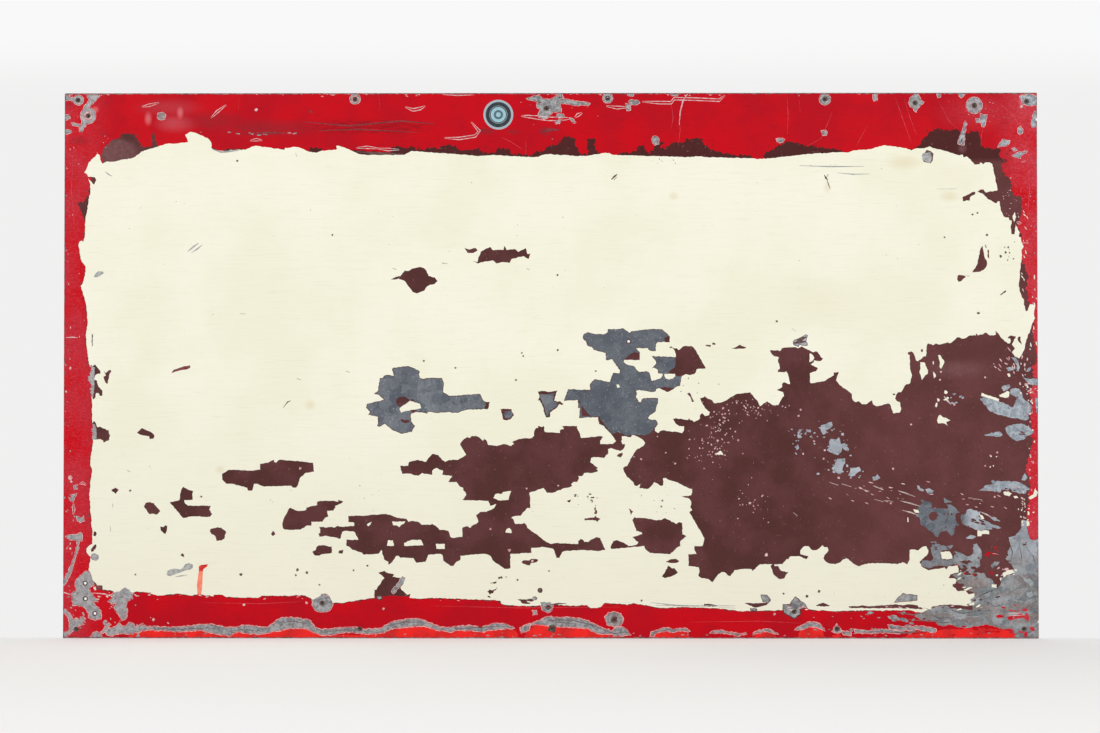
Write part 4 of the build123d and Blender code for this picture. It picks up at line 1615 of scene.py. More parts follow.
# The red border: its inner edge where it stops short of the cream, and what has come off it
RED_INNER_TOP: Outline = (
    89, 204, 90, 190, 93, 176, 92, 166, 99, 160, 103, 164, 102, 157, 105, 149, 107, 146, 112, 142, 120, 138,
    123, 134, 127, 134, 135, 134, 140, 142, 141, 146, 145, 147, 150, 147, 152, 146, 153, 134, 155, 132,
    156, 135, 157, 144, 158, 147, 189, 145, 192, 136, 207, 141, 210, 148, 222, 152, 230, 149, 268, 149,
    285, 149, 309, 153, 311, 148, 316, 148, 322, 148, 322, 152, 337, 152, 339, 148, 352, 152, 357, 150,
    392, 153, 392, 148, 397, 146, 403, 146, 408, 149, 411, 146, 415, 146, 417, 150, 430, 149, 434, 148,
    440, 148, 445, 145, 457, 146, 458, 150, 465, 150, 479, 148, 483, 152, 495, 153, 498, 149, 503, 148,
    511, 150, 513, 154, 531, 155, 534, 152, 544, 151, 550, 146, 560, 144, 562, 138, 568, 136, 576, 138,
    577, 147, 580, 153, 589, 154, 587, 146, 588, 139, 595, 138, 596, 148, 598, 153, 603, 154, 617, 156,
    619, 154, 624, 152, 632, 153, 638, 150, 640, 144, 643, 145, 650, 154, 654, 149, 657, 143, 663, 142,
    666, 143, 661, 146, 665, 149, 670, 145, 677, 142, 684, 142, 686, 138, 692, 139, 696, 138, 702, 138,
    704, 143, 710, 148, 718, 152, 730, 153, 732, 155, 752, 155, 754, 159, 764, 160, 766, 152, 770, 150,
    775, 150, 778, 146, 789, 141, 795, 143, 803, 143, 805, 146, 812, 146, 843, 149, 843, 154, 892, 147,
    914, 150, 920, 145, 924, 139, 932, 131, 936, 129, 952, 130, 954, 129, 958, 129, 960, 131, 971, 132,
    976, 131, 980, 132, 983, 146, 986, 148, 1000, 148, 1002, 150, 1000, 155, 1004, 159, 1007, 161, 1002, 165,
    1004, 172, 1012, 182, 1012, 190, 1014, 195, 1020, 196, 1022, 199, 1022, 205, 1023, 208, 1018, 226,
    1020, 231, 1022, 233, 1022, 236, 1020, 240, 1022, 247, 1020, 252, 1020, 257,
)
RED_INNER_RIGHT: Outline = (
    1022, 258, 1023, 262, 1029, 276, 1027, 280, 1027, 290, 1029, 304, 1033, 307, 1034, 321, 1032, 330,
    1036, 352, 1036, 362, 1032, 366, 1034, 378, 1032, 387, 1029, 388, 1028, 390, 1030, 396, 1032, 410,
    1030, 414, 1032, 445, 1030, 452, 1026, 464, 1026, 470, 1028, 474, 1030, 485, 1028, 495, 1029, 500,
    1027, 506, 1026, 518, 1029, 522, 1026, 527, 1026, 533, 1028, 538, 1031, 540, 1041, 536, 1041, 560,
    1010, 600, 975, 608,
)
LEFT_STRIP: Outline = (
    88.5, 196, 89.5, 203, 85.5, 222, 80, 207, 78, 204, 80, 202, 84, 203, 86, 199,
)
LEFT_SLIVERS: tuple[Outline, ...] = (
    (88, 236, 91, 236, 91, 242, 88.5, 242), (87, 246, 89.5, 247, 89, 262, 87, 262),
    (83, 290, 87, 290, 87, 294, 84, 294), (88, 301, 92, 301, 92, 304, 88, 304),
)

# The bare line that dips and rises along the bottom edge, with the older orange-red below it
BOTTOM_BAND: tuple[Outline, ...] = (
    (
        140, 627, 174, 628, 195, 626, 212, 625, 226, 628, 233, 628, 243, 626, 268, 628, 275, 622, 280, 619,
        286, 618, 300, 619, 309, 621, 314, 628, 320, 630, 329, 630, 343, 628, 356, 628, 364, 630, 380, 629,
        390, 623, 398, 621, 416, 619, 421, 620, 440, 628, 447, 628, 462, 626, 470, 626, 481, 628, 487, 626,
        492, 624, 503, 624, 508, 626, 513, 628, 488, 630, 483, 632, 470, 630, 460, 630, 453, 631, 449, 632,
        445, 631, 437, 630, 424, 626, 415, 626, 395, 628, 388, 630, 383, 633, 366, 634, 346, 632, 331, 635,
        320, 635, 306, 629, 295, 628, 285, 629, 278, 631, 272, 631, 268, 633, 262, 634, 250, 634, 240, 632,
        234, 633, 230, 636, 210, 633, 200, 630, 180, 632, 150, 630, 140, 631,
    ),
    (520, 628, 529, 624, 528, 630, 521, 632.5),
    (
        530, 625, 547, 617, 569, 618, 584, 620, 593, 624, 604, 629, 612, 631, 615, 628, 620, 627, 626, 630,
        630, 635, 613, 636, 612, 633, 603, 634, 596, 633, 587, 628, 574, 627, 554, 626, 535, 624,
    ),
    (
        650, 636, 651, 632, 660, 629, 667, 628, 672, 630, 680, 628.5, 686, 629, 689, 631, 680, 630.5,
        672, 632, 667, 630.5, 660, 631.5, 655, 633, 653, 636,
    ),
    (709, 633, 715, 631, 722, 630.5, 728, 632.5, 746, 634, 738, 635.5, 722, 632.5),
    (752, 634, 757, 631, 765, 629, 771, 630.5, 778, 634, 765, 631),
    (794.5, 629.5, 809, 622, 815, 622.5, 820.5, 625.5, 824, 630.5, 816, 626.5, 810, 626, 801, 629),
    (842, 631, 850, 632.5, 850, 635, 843, 634),
    (854, 629.5, 868, 631, 880, 629.5, 900, 631, 899, 633, 880, 632, 867, 633, 855, 632),
    (888, 625, 903, 627, 920, 626, 935, 629, 934, 632, 919, 629, 903, 630, 889, 628),
)

# Where the red coat has gone along the bottom edge, down to the older one
OLD_RED_SHOWN: tuple[Outline, ...] = (
    (
        126, 638, 133, 633, 150, 631, 165, 630, 200, 628, 225, 631, 268, 630, 285, 623, 306, 625, 314, 633,
        340, 635, 378, 634.6, 390, 625, 405, 622.5, 422, 622.5, 432, 627, 447, 631.6, 455, 629.6, 470, 627.5,
        482, 630, 492, 626.5, 510, 627, 517.6, 634, 515, 641, 126, 641,
    ),
    (523, 641, 526, 630, 541, 622, 570, 621, 586, 624, 598, 630, 612, 634, 630, 641),
    (651, 641, 656, 633, 668, 631, 684, 632, 691, 641),
    (751, 641, 757, 632.6, 765, 630.6, 773, 632.6, 779, 641),
    (797, 641, 799, 631, 803, 626.6, 810, 624.6, 817, 626, 822, 630, 824.6, 637, 824.4, 641),
    (830, 641, 832, 635, 840, 634.4, 844, 641),
    (896, 641, 908, 634.6, 926, 632, 945, 629, 975, 628, 990, 628, 1005, 630, 1014, 632, 1014, 641),
)

# What lies above the strip that the older coat is painted in, all of it
ABOVE_OLD_RED: Outline = (50, 50, 1060, 50, 1060, 612, 50, 612)

# Chips in the red down to bare metal, most of them round nails and along the edges
BARE_CHIPS: tuple[Outline, ...] = (
    (
        64, 95.4, 69, 96.4, 72, 98.4, 76, 98.4, 76.5, 96.8, 79.2, 95.8, 82.5, 97, 83.8, 100, 82.6, 103.6,
        79.2, 105, 76, 103.6, 74.5, 101.4, 70, 99.8, 64, 100.4,
    ),
    (
        88.3, 95.8, 96, 95.2, 100, 96, 97, 99.2, 94, 102.5, 91, 106, 88.5, 108.5, 86, 111.5, 84.2, 110,
        87, 105, 90.5, 101.5, 89, 98,
    ),
    (62, 92, 73, 92, 73, 94.4, 66, 95), (73, 123.4, 80, 125, 80, 126.6, 74, 125.4),
    (83.3, 121.5, 87, 123.8, 84.4, 127.6, 83, 131.4, 80.6, 131.2, 80.6, 128, 82.4, 125),
    (64, 115, 69, 115.5, 70.5, 118, 67, 120, 64, 119), (64, 131, 70, 130.5, 72, 132.5, 68, 134, 64, 134),
    (159, 114, 163, 113, 166, 115.5, 165, 119, 161, 119.5, 158.5, 117.5),
    (
        528.4, 98.6, 536.5, 96, 541, 96.6, 543, 98.6, 550, 100, 553, 98.8, 556, 96.6, 560, 97, 561, 98.8,
        566, 99.4, 575, 101.4, 584, 102, 590.2, 103.6, 589, 105, 583, 104.4, 577.5, 105, 566, 103, 560, 103.2,
        561.4, 107.4, 561.6, 111.4, 554, 111, 552, 113.6, 549, 117, 545, 118.4, 540, 117, 539.6, 114,
        541.4, 110, 538, 106, 538.5, 103.4, 543, 103, 536, 100.6, 530, 99.6,
    ),
    (558, 114.4, 564, 114.6, 564, 117.4, 558.4, 117),
    (556.6, 122.8, 560, 119.6, 562, 120, 560, 123, 557, 123.4),
    (571.4, 118.8, 572.8, 118.8, 576, 122.4, 574.8, 122.8),
    (550, 92, 563, 92, 562.6, 94.6, 563.6, 97.4, 561, 98, 560, 94.6),
    (627, 104, 631, 105, 631, 109.5, 628, 110),
    (630, 101.5, 633, 100, 638, 100.5, 640, 102.5, 636, 104.5, 631, 104),
    (671, 92, 679, 92, 678, 95.5, 673, 95), (628, 92, 635, 92, 634, 95.5, 629, 95),
    (654, 137, 657, 136.5, 659.5, 139, 659, 143.5, 656, 144.5, 653.5, 142),
    (822.5, 131, 825, 130.5, 827.5, 132, 826.5, 134.5, 823.5, 134.5),
    (777.5, 139, 781, 138.5, 784.5, 139.5, 783, 141.5, 778.5, 141.5),
    (874.5, 94, 877, 94, 877.5, 99.5, 875, 100), (938, 92, 941, 92, 941, 96.2, 939, 96.8),
    (960, 93.4, 965, 93.6, 962, 97),
    (
        910, 102, 911, 98, 914, 95.5, 916.7, 93, 919, 95, 921, 98.5, 921.5, 101, 924, 101.8, 921, 104,
        919, 107, 917.5, 108.5, 916.4, 111, 914.8, 108, 911.5, 106,
    ),
    (
        966, 121.5, 967.2, 123.6, 965.2, 132, 964.4, 144, 962.8, 144.2, 963.2, 137, 960.6, 143.6, 959, 143,
        961.5, 135, 964.2, 127,
    ),
    (1013, 155, 1018, 153, 1027.4, 151, 1021, 154.6, 1020.6, 157.3, 1016.5, 156.4),
    (1013.2, 148.4, 1015, 147.8, 1016.8, 149.6, 1014.6, 150.4),
    (977, 118.6, 979.6, 119, 980, 121.6, 977.6, 121.4),
    (1021, 96, 1027, 94.5, 1034, 95, 1038.5, 97, 1038, 104, 1031, 105, 1024, 103.5),
    (999.2, 146.2, 1001, 143, 1003.3, 139.4, 1010, 140.6, 1009.4, 142.9, 1006.7, 145),
    (1019, 128, 1021, 126.5, 1023, 129, 1022.5, 132.5, 1020.5, 133.5, 1019, 131),
    (1035.5, 111.6, 1040, 115, 1040, 125.6, 1032.8, 126, 1032.8, 120, 1034.4, 114),
    (981.7, 113.9, 987.2, 115, 985.6, 123.3, 984.4, 126, 982.8, 125.5, 981.7, 120),
    (77.6, 541, 78.6, 543, 76.8, 553, 71.2, 570, 66, 582, 63.6, 585, 63.4, 582, 70.4, 567, 75.8, 552),
    (
        60, 608.6, 66, 611, 70, 615.4, 72.4, 620.4, 76, 619, 79, 620.6, 82.4, 617.6, 84.2, 619.4, 81.4, 622.4,
        82.6, 624.6, 78.6, 625.4, 76, 628, 72.4, 630.6, 69.4, 633.4, 66, 637, 60, 639, 60, 633, 66.6, 632.6,
        69.4, 629, 69.2, 624.6, 68.8, 619, 65.6, 614.6, 60, 611.6,
    ),
    (89, 640, 92.5, 634, 96, 632.4, 100, 634.4, 101, 637),
    (100.5, 632.6, 104, 629, 108, 624, 109.5, 625, 106.5, 629, 102.5, 633.4),
    (
        104, 632, 109, 629, 115, 627.6, 118.4, 624, 121.6, 627, 125, 627.4, 128.4, 623.2, 133, 625, 135, 628,
        141.8, 624.4, 143, 630.6, 136, 632.6, 128, 634.4, 119, 633.6, 110, 636, 106, 634.4,
    ),
    (
        81, 576, 76.5, 580, 75, 585, 76.5, 589, 75.5, 592, 72, 593.5, 72.5, 605.5, 77, 605, 84.5, 608,
        87, 612, 88.5, 618, 94.5, 620.5, 100, 619, 100, 611.5, 92.5, 603.5, 92.5, 600, 97.5, 602.5, 89.5, 593,
        88.5, 589, 93, 585, 89.5, 573, 85.5, 572,
    ),
    (
        116, 591.5, 124, 588.5, 129, 589.5, 131, 593, 131.5, 598, 127, 601, 124.5, 605, 126.5, 610,
        125.5, 618, 121.5, 620.5, 114, 608, 117, 604, 108, 602, 112, 598, 113.5, 593,
    ),
    (66, 537, 70, 536, 77, 536, 80, 533.5, 81.5, 536, 81, 541, 70, 540),
    (68, 497.5, 71, 499, 71, 496, 76, 494.5, 74, 498, 72.5, 502),
    (77, 517.5, 80, 519, 83, 517, 83.5, 521, 80, 522.5, 77.5, 521),
    (74, 486.5, 76.5, 486, 76.5, 489, 74.5, 489),
    (
        312, 600, 315, 596.5, 320, 594.5, 326, 594.5, 331, 598, 332, 604, 329, 610, 322, 612, 315, 610,
        312, 605,
    ),
    (540, 602, 551, 602, 552, 605, 551, 610, 547.5, 612.5, 543, 610.5, 541, 606),
    (604.5, 617, 608, 613, 614, 612, 620, 614, 622.5, 619, 620, 624.5, 613.5, 626.5, 607, 624.5),
    (832, 631, 836, 624.5, 840.5, 631, 836.5, 633),
    (
        402, 577, 404.5, 579, 403.5, 582.5, 393, 593.5, 391.5, 592, 393, 589.5, 396, 586.5, 398.5, 583,
        399.5, 580,
    ),
    (532.5, 611, 535.5, 611, 536, 614, 533, 614.5),
)

# Bare rings round nail holes: centre, outer reach, inner reach, height over width
BARE_RINGS: tuple[tuple[tuple[float, float], float, float, float], ...] = (
    ((88.9, 116), 7.2, 4.2, 1.06), ((356, 99), 4.8, 3.3, 1.0), ((608.6, 98), 4.6, 0, 1.0),
    ((825.7, 99), 5.2, 0, 1.0), ((975, 105), 7.6, 2.2, 1.02),
)

# Flecks of bare metal where the border is rubbed through
BARE_FLECKS: tuple[Cluster, ...] = (
    Cluster((827, 430), (14, 9), 16, 0.7, 1.3), Cluster((802, 432), (11, 6), 12, 0.65, 1.3),
    Cluster((836, 447), (15, 10), 18, 0.7, 1.3), Cluster((837, 468), (13, 8), 12, 0.8, 1.3),
    Cluster((797, 447), (6, 6), 8, 0.6), Cluster((856, 474), (10, 5), 6, 0.6),
    Cluster((958, 398), (8, 8), 7, 0.9, 1.3), Cluster((76, 618), (10, 9), 9, 1.0, 1.7, 50),
    Cluster((112, 624), (16, 6), 10, 0.9, 1.8, 40), Cluster((112, 632), (20, 4), 12, 1.3, 1.6, 145),
    Cluster((140, 627), (10, 4), 8, 1.3, 1.5, 160), Cluster((126, 592), (10, 5), 8, 1.3, 1.4, 120),
    Cluster((70, 598), (5, 12), 6, 1.0, 1.4), Cluster((85, 595), (18, 28), 16, 0.6),
    Cluster((118, 604), (14, 16), 12, 0.7), Cluster((70, 508), (8, 20), 8, 0.6, 1.6, 80),
    Cluster((1018, 612), (14, 10), 8, 1.0), Cluster((880, 630), (70, 4), 22, 1.0, 3.0),
    Cluster((915, 618), (40, 5), 22, 1.2, 2.2), Cluster((860, 617), (50, 3), 10, 0.5, 2.4),
    Cluster((1034, 470), (4, 60), 12, 0.45), Cluster((1034, 300), (5, 90), 14, 0.45, 1.6, 80),
    Cluster((67, 330), (5, 180), 26, 0.45, 1.8, 80), Cluster((600, 635), (560, 3), 50, 0.5, 2.6),
    Cluster((556, 110), (40, 18), 16, 0.5), Cluster((1010, 112), (34, 20), 7, 0.35, 1.8),
    Cluster((1033, 196), (8, 60), 12, 0.45), Cluster((245, 134), (40, 2), 7, 0.6, 3.4),
)

# Flecks of red and of undercoat left on the bare corner
CORNER_RED: tuple[Cluster, ...] = (
    Cluster((1014, 608), (16, 8), 7, 1.3, 2.0), Cluster((985, 630), (44, 4), 12, 1.1, 2.6),
    Cluster((966, 572), (16, 9), 6, 1.1, 1.4, 30), Cluster((990, 553), (9, 5), 7, 1.2, 1.7, 160),
)
CORNER_UNDERCOAT: tuple[Cluster, ...] = (
    Cluster((1020, 433), (9, 3), 7, 0.8, 2.2, 8), Cluster((1012, 489), (14, 3), 9, 0.8, 2.6, 8),
    Cluster((978, 522), (8, 4), 6, 0.8, 2.8, 25), Cluster((1016, 399), (12, 8), 8, 0.5, 1.6, 20),
    Cluster((944, 552), (12, 8), 6, 0.8, 2.2), Cluster((946, 514), (12, 14), 7, 0.8, 1.6, 80),
    Cluster((972, 566), (18, 12), 12, 1.5, 1.6, 20), Cluster((1006, 558), (20, 26), 8, 0.8, 1.6),
    Cluster((955, 600), (40, 16), 12, 1.0, 2.2), Cluster((930, 548), (18, 10), 10, 1.2, 1.6),
    Cluster((1020, 534), (12, 14), 8, 0.8), Cluster((888, 618), (40, 8), 14, 1.0, 2.6),
)

# Brush hairs of the undercoat that the red's ragged edge leaves bare along the top
HAIRS: tuple[Cluster, ...] = (
    Cluster((127, 135), (15, 2.5), 12, 0.35, 4, 92), Cluster((140, 145), (10, 5), 8, 0.35, 4, 92),
    Cluster((430, 149), (80, 2), 22, 0.35, 4, 92), Cluster((553, 147), (22, 6), 12, 0.35, 4, 95),
    Cluster((684, 143), (36, 2.5), 18, 0.35, 4, 92), Cluster((790, 146), (34, 2), 10, 0.35, 4, 92),
    Cluster((955, 130), (34, 1.6), 16, 0.35, 4, 85), Cluster((1008, 168), (5, 18), 12, 0.4, 4, 40),
)

# Places low in the border where the red is off down to the undercoat
RED_OFF_LOW: tuple[Outline, ...] = (
    (374, 568, 412, 568, 410, 596.5, 392, 596, 374, 597),
    (512, 599, 528, 598.5, 531, 600.5, 520, 602, 512, 601),
    (95, 585, 103, 585, 103, 590, 111, 590.5, 117, 592, 104, 591.5, 96, 590),
)

# Marks on the paint: a width in pixels and the run of each stroke
PALE_ON_RED: tuple[Outline, ...] = (
    (1, 443, 94.5, 458, 95.5, 475, 94.8), (1.6, 522, 116, 530, 116.4, 538, 118),
    (1.6, 143, 107, 150, 105.5, 160, 103), (1.4, 212, 118, 218, 112, 227, 105),
    (1.6, 406, 107, 414, 110, 421, 108.6, 426, 106),
    (1.4, 472, 122, 480, 131, 476, 136, 460, 138.5, 445, 138), (1.8, 607, 106, 618, 107.5, 630, 107),
    (1.5, 643, 101.5, 660, 102.5, 672, 102.6, 675, 98.5, 698, 99, 720, 100, 726, 95),
    (1.2, 689, 93, 684, 100, 681, 112, 680, 125),
    (2.4, 524, 116, 538, 117.4, 549, 118.8, 562, 118.8, 572, 118.4),
    (2, 575.6, 117.4, 579, 114.8, 583, 112.8), (1.3, 60, 591.6, 68, 594.6, 76, 594.4),
    (1.3, 92, 593.4, 104, 594.4, 113, 597.6), (1.5, 251, 141, 257, 139.8, 263, 140.5),
    (1.5, 288.5, 133, 292, 133.2), (1.4, 1022, 161.5, 1026, 160.5),
    (1.4, 1017, 221.3, 1019.5, 222.6, 1022, 222.8), (1.1, 66, 338, 72, 337.6, 78, 338),
    (1.4, 79, 484.5, 82.5, 483.2, 86, 485.6), (1.4, 73, 504, 73.6, 510, 72.6, 515),
    (1.6, 1022, 242.5, 1029, 242.3), (1.4, 357, 148, 368, 147.4, 380, 148.6),
    (1.5, 378, 148.6, 389, 149.6, 400, 149.8), (1.5, 1005, 614.6, 1014, 613.8, 1024, 614.6),
    (1.2, 992, 553, 998, 554),
)
PALE_ON_UNDERCOAT: tuple[Outline, ...] = (
    (1.6, 829, 482, 838, 485), (1.9, 843, 484, 851, 486.5), (1.3, 859, 488, 869, 491),
    (2.6, 873, 485.5, 883, 489.5), (1.4, 874, 499, 883, 501.5), (1.3, 886, 500, 893, 501.5),
    (1.4, 898, 490.5, 906, 493, 915, 496.5), (1.4, 900, 500.5, 910, 503, 920, 506),
    (1.5, 902, 510, 910, 512, 918, 515), (1.4, 968, 497.5, 982, 499.5), (1.5, 979, 511, 986, 514, 993, 518),
    (1.4, 793, 512.5, 797, 515.5), (2.2, 944, 396, 947, 400, 951, 404), (1.5, 1010, 486.4, 1017, 486.8),
)

# Long faint scratches in the red, a little paler than it
FAINT_ON_RED: tuple[Outline, ...] = (
    (0.5, 896, 97, 903, 117, 912, 142), (0.4, 905, 98, 911, 118, 917, 134),
    (0.4, 833, 112, 829, 122, 822, 138, 806, 147), (0.4, 939, 100, 950, 121, 958, 128),
    (0.4, 868, 126, 862, 136, 857, 146), (0.5, 984, 126, 982, 136, 981.4, 146),
    (0.4, 788, 96, 789, 116, 788, 134), (0.4, 800, 100, 801, 112), (0.4, 680, 112, 681, 130, 679, 146),
    (0.4, 672, 103, 674, 118, 672, 128), (0.4, 502, 137, 512, 142, 524, 150),
    (0.4, 526, 140, 527, 148, 526, 156), (0.4, 380, 96, 381, 110), (0.4, 240, 98, 239, 110),
    (0.4, 96, 200, 90, 240, 88, 280), (0.4, 74, 150, 72, 190, 75, 230),
    (0.5, 1002, 104, 1016, 118, 1030, 142), (0.4, 1010, 100, 1012, 124),
    (0.4, 1028, 150, 1030, 190, 1027, 230), (0.4, 430, 606, 520, 608, 620, 607),
    (0.4, 200, 603, 260, 604, 300, 602), (0.4, 690, 622, 760, 621, 800, 623),
)
DARK_ON_RED: tuple[Outline, ...] = (
    (3.4, 543, 132, 550, 129.5, 560, 130), (2.6, 309.5, 111, 311, 111.4, 313, 113),
    (1.6, 304, 122, 350, 126, 402, 121, 436, 124), (1.4, 318, 131, 360, 129.4, 420, 132.6),
    (2, 250, 133.4, 270, 132.6, 288, 133.4), (1.3, 230, 149.4, 250, 149.4), (1.3, 268, 149.3, 285, 149.6),
)
DARK_ON_CREAM: tuple[Outline, ...] = (
    (3.6, 794, 343, 800, 341.6, 806, 341.4), (3.2, 797, 340, 802, 338.6, 806.6, 336.6),
    (1.9, 357, 151.8, 370, 152.8, 388, 153.6, 405, 154.5), (2, 612, 179.6, 615, 176.5, 618, 174),
    (1.3, 614.5, 180, 617.5, 177), (1.8, 825, 174.5, 826.5, 178, 828.5, 179.6), (1.6, 829, 174, 827, 177.5),
    (1, 827.6, 179, 829, 184, 831, 189), (1.3, 297, 378.6, 301, 380.2), (1.2, 283, 408, 288, 402, 291, 401),
    (1.1, 442, 263.4, 448, 263.8), (1.2, 527, 268.8, 530, 269.4), (1, 240, 314, 246, 314.2),
    (1.2, 127, 470.4, 130, 472.6), (1.1, 346, 371.2, 350, 372.8), (1.2, 393, 268.3, 397, 269.7),
    (1.2, 965, 275.6, 970, 275.6), (1.1, 112.4, 504, 112.7, 508), (1, 110, 527, 110.3, 532),
    (1.5, 549, 604.6, 558, 603.6, 566, 603.8),
)
GREY_ON_CREAM: tuple[Outline, ...] = (
    (1.2, 800, 165.4, 832, 166.4, 865, 166), (1.2, 838, 172.6, 854, 174, 870, 173.6),
    (1.8, 213, 149.4, 222, 152.4, 230, 151.6, 240, 150.6), (1, 938, 188.6, 957, 188.4),
    (1.8, 188, 252, 194, 247, 199, 243.4), (1.4, 192, 253, 198, 249, 203, 245),
    (1.2, 175, 577.2, 181, 576.2, 187, 575.4), (1.2, 792, 328.2, 796, 331),
    (1.2, 650, 602.4, 676, 605.4, 705, 605.8), (1.2, 655, 605.2, 690, 605.9, 735, 605.6),
    (1.1, 718, 607.4, 735, 608), (1.2, 106, 172, 109, 174.6, 113, 176.6), (1.4, 296, 153, 297.8, 157),
)
GREY_DOTS: tuple[Outline, ...] = (
    (928.2, 157, 5.2), (540, 590.5, 1.2), (533.5, 598.5, 1.8), (1005, 247, 0.9),
)

# Small dark flecks in the cream
DARK_FLECKS: tuple[Cluster, ...] = (
    Cluster((586, 497), (15, 5), 12, 0.6, 1.7, 160), Cluster((596, 508), (4, 8), 6, 0.6, 1.5, 80),
    Cluster((560, 488), (10, 4), 5, 0.5), Cluster((655, 500), (30, 20), 9, 0.4),
    Cluster((330, 500), (200, 60), 24, 0.35), Cluster((600, 230), (420, 60), 26, 0.35),
    Cluster((160, 300), (60, 120), 8, 0.35), Cluster((690, 380), (24, 16), 10, 0.5),
    Cluster((666, 160), (16, 6), 9, 0.4), Cluster((1010, 250), (10, 20), 6, 0.5, 1.6, 110),
    Cluster((500, 578), (12, 10), 6, 0.6), Cluster((835, 165), (40, 8), 6, 0.35),
    Cluster((905, 595), (60, 8), 7, 0.4),
)

# Flecks of cream: on the undercoat near the right edge, and along the cream's lower right edge
CREAM_FLECKS: tuple[Cluster, ...] = (
    Cluster((943, 396), (8, 8), 4, 1.1, 1.3, 60), Cluster((1026, 388), (12, 10), 12, 0.75, 1.2),
    Cluster((1034, 420), (5, 40), 10, 0.65, 1.5, 80), Cluster((1022, 510), (3, 22), 12, 0.5, 1.6, 80),
    Cluster((1030, 512), (5, 12), 8, 0.55, 1.4), Cluster((992, 460), (12, 12), 4, 0.6),
    Cluster((1008, 573), (10, 4), 8, 1.0, 1.6, 160), Cluster((860, 609), (90, 1.2), 26, 0.8, 3.2),
    Cluster((1024, 238), (5, 26), 10, 0.35, 5, 60), Cluster((1034, 308), (4, 24), 14, 0.5, 4, 84),
    Cluster((1022, 300), (3, 26), 10, 0.4, 4, 70), Cluster((966, 592), (7, 8), 6, 0.7, 3, 170),
    Cluster((956, 575), (6, 8), 6, 0.6, 3, 165), Cluster((970, 604), (14, 3), 8, 0.8, 2.4, 160),
    Cluster((590, 602), (80, 2), 14, 0.6, 3.0), Cluster((250, 594), (80, 2), 10, 0.6, 3.6),
    Cluster((104, 597), (12, 3), 6, 0.7, 1.6), Cluster((94, 560), (2, 40), 6, 0.6, 2.6, 88),
)

# Scratches and lighter places on the bare corner: dark lines, pale lines and pale patches
CORNER_DARK: tuple[Outline, ...] = (
    (1, 973, 599, 984, 593, 997, 588), (0.8, 1012, 623, 1024, 609, 1037, 599),
    (0.8, 1019, 545, 1021, 556, 1020, 565), (0.9, 970.6, 568, 971.2, 590), (0.7, 1022, 603, 1031, 596),
    (0.8, 999, 611.6, 1013, 611), (0.8, 1004, 596, 1016, 588, 1026, 586),
    (1.2, 951, 610, 962, 613, 978, 610.6), (0.9, 985, 601, 994, 606, 1006, 604),
    (0.8, 1026, 548, 1033, 556, 1036, 570), (1.4, 930, 614, 938, 618, 950, 617),
    (1.2, 932, 621, 943, 622.6, 955, 621), (0.8, 1008, 539, 1012, 552, 1010, 563),
    (1.6, 1017, 628, 1024, 634, 1032, 630), (1.4, 1018, 636, 1030, 636.6),
    (0.8, 958, 572, 966, 577, 976, 576),
)
CORNER_PALE: tuple[Outline, ...] = (
    (1, 1008, 562, 1020, 574, 1032, 588), (0.8, 1014, 571, 1026, 579, 1034, 590),
    (0.8, 958, 616, 975, 616.4, 990, 614.5), (1, 1014, 600, 1024, 602, 1034, 598),
    (0.8, 1016, 566, 1030, 562, 1036, 566), (1.2, 968, 575, 969, 588), (0.8, 990, 599, 1000, 597, 1010, 599),
    (0.9, 940, 611.4, 950, 613.4, 960, 611), (1, 1001, 620, 1012, 617, 1020, 620),
)
CORNER_LIGHT: tuple[Outline, ...] = (
    (1023, 577, 1028, 578, 1033, 582, 1032, 585.4, 1028, 584.4, 1024, 580.6),
    (972, 597.4, 978, 595.5, 979.4, 602, 975, 604.6, 972, 601.6),
    (983, 592, 991.4, 590, 989, 595.6, 985, 596.2), (1019, 541, 1026, 540, 1027, 549, 1022, 550.4, 1019, 546),
    (992, 613.4, 999, 614, 998, 620, 993, 621.4), (1026, 592, 1031, 590.6, 1033, 595, 1028, 597),
    (1008, 541, 1013, 537, 1016, 543, 1013, 556, 1009, 552), (1012, 625, 1020, 622.4, 1025, 626, 1019, 629),
    (953, 613, 966, 613.6, 964, 618.6, 954, 619),
)
BAND_STREAKS: tuple[Outline, ...] = (
    (1.1, 455, 629, 475, 627.6, 505, 626.4), (1, 556, 619.6, 572, 620.4, 590, 624.6, 602, 629),
    (1.2, 390, 625, 405, 622, 421, 622.6), (0.9, 150, 629, 180, 629.6, 210, 628.4),
    (1, 281, 623.5, 292, 621.5, 306, 624), (0.9, 545, 621.5, 560, 622.6, 575, 623.6),
    (1.4, 546, 619.5, 552, 621, 556, 619.4), (0.9, 227, 632, 240, 630, 262, 631.5),
    (0.9, 320, 633, 345, 630, 372, 632), (0.8, 655, 631.5, 668, 629.4, 685, 630),
    (1, 604, 630.6, 614, 633.6, 626, 632), (0.9, 870, 631, 900, 632.4, 930, 631),
    (1.2, 896, 612, 912, 614.5, 925, 612), (1, 905, 619, 930, 621, 950, 618.5),
)
GREY_SWOOSH: Outline = (
    166, 574, 167.5, 571, 171, 569.5, 175, 569, 180, 570, 183, 567.5, 185, 564.5, 189, 563.5, 192.5, 565,
    192.5, 568, 190, 570, 186, 570.5, 170, 576.5, 167, 576,
)
GREY_SMEAR: Outline = (
    94, 277.5, 96, 273.5, 99, 271.5, 103.5, 272, 104, 274, 98, 277.5,
)
MAROON_DASHES: tuple[Outline, ...] = (
    (171.5, 373.5, 174, 370, 180, 368, 190, 365.5, 190.5, 368, 186, 370, 181, 370.5),
    (95, 586, 101.5, 586, 101.5, 590, 95.5, 589.5),
)
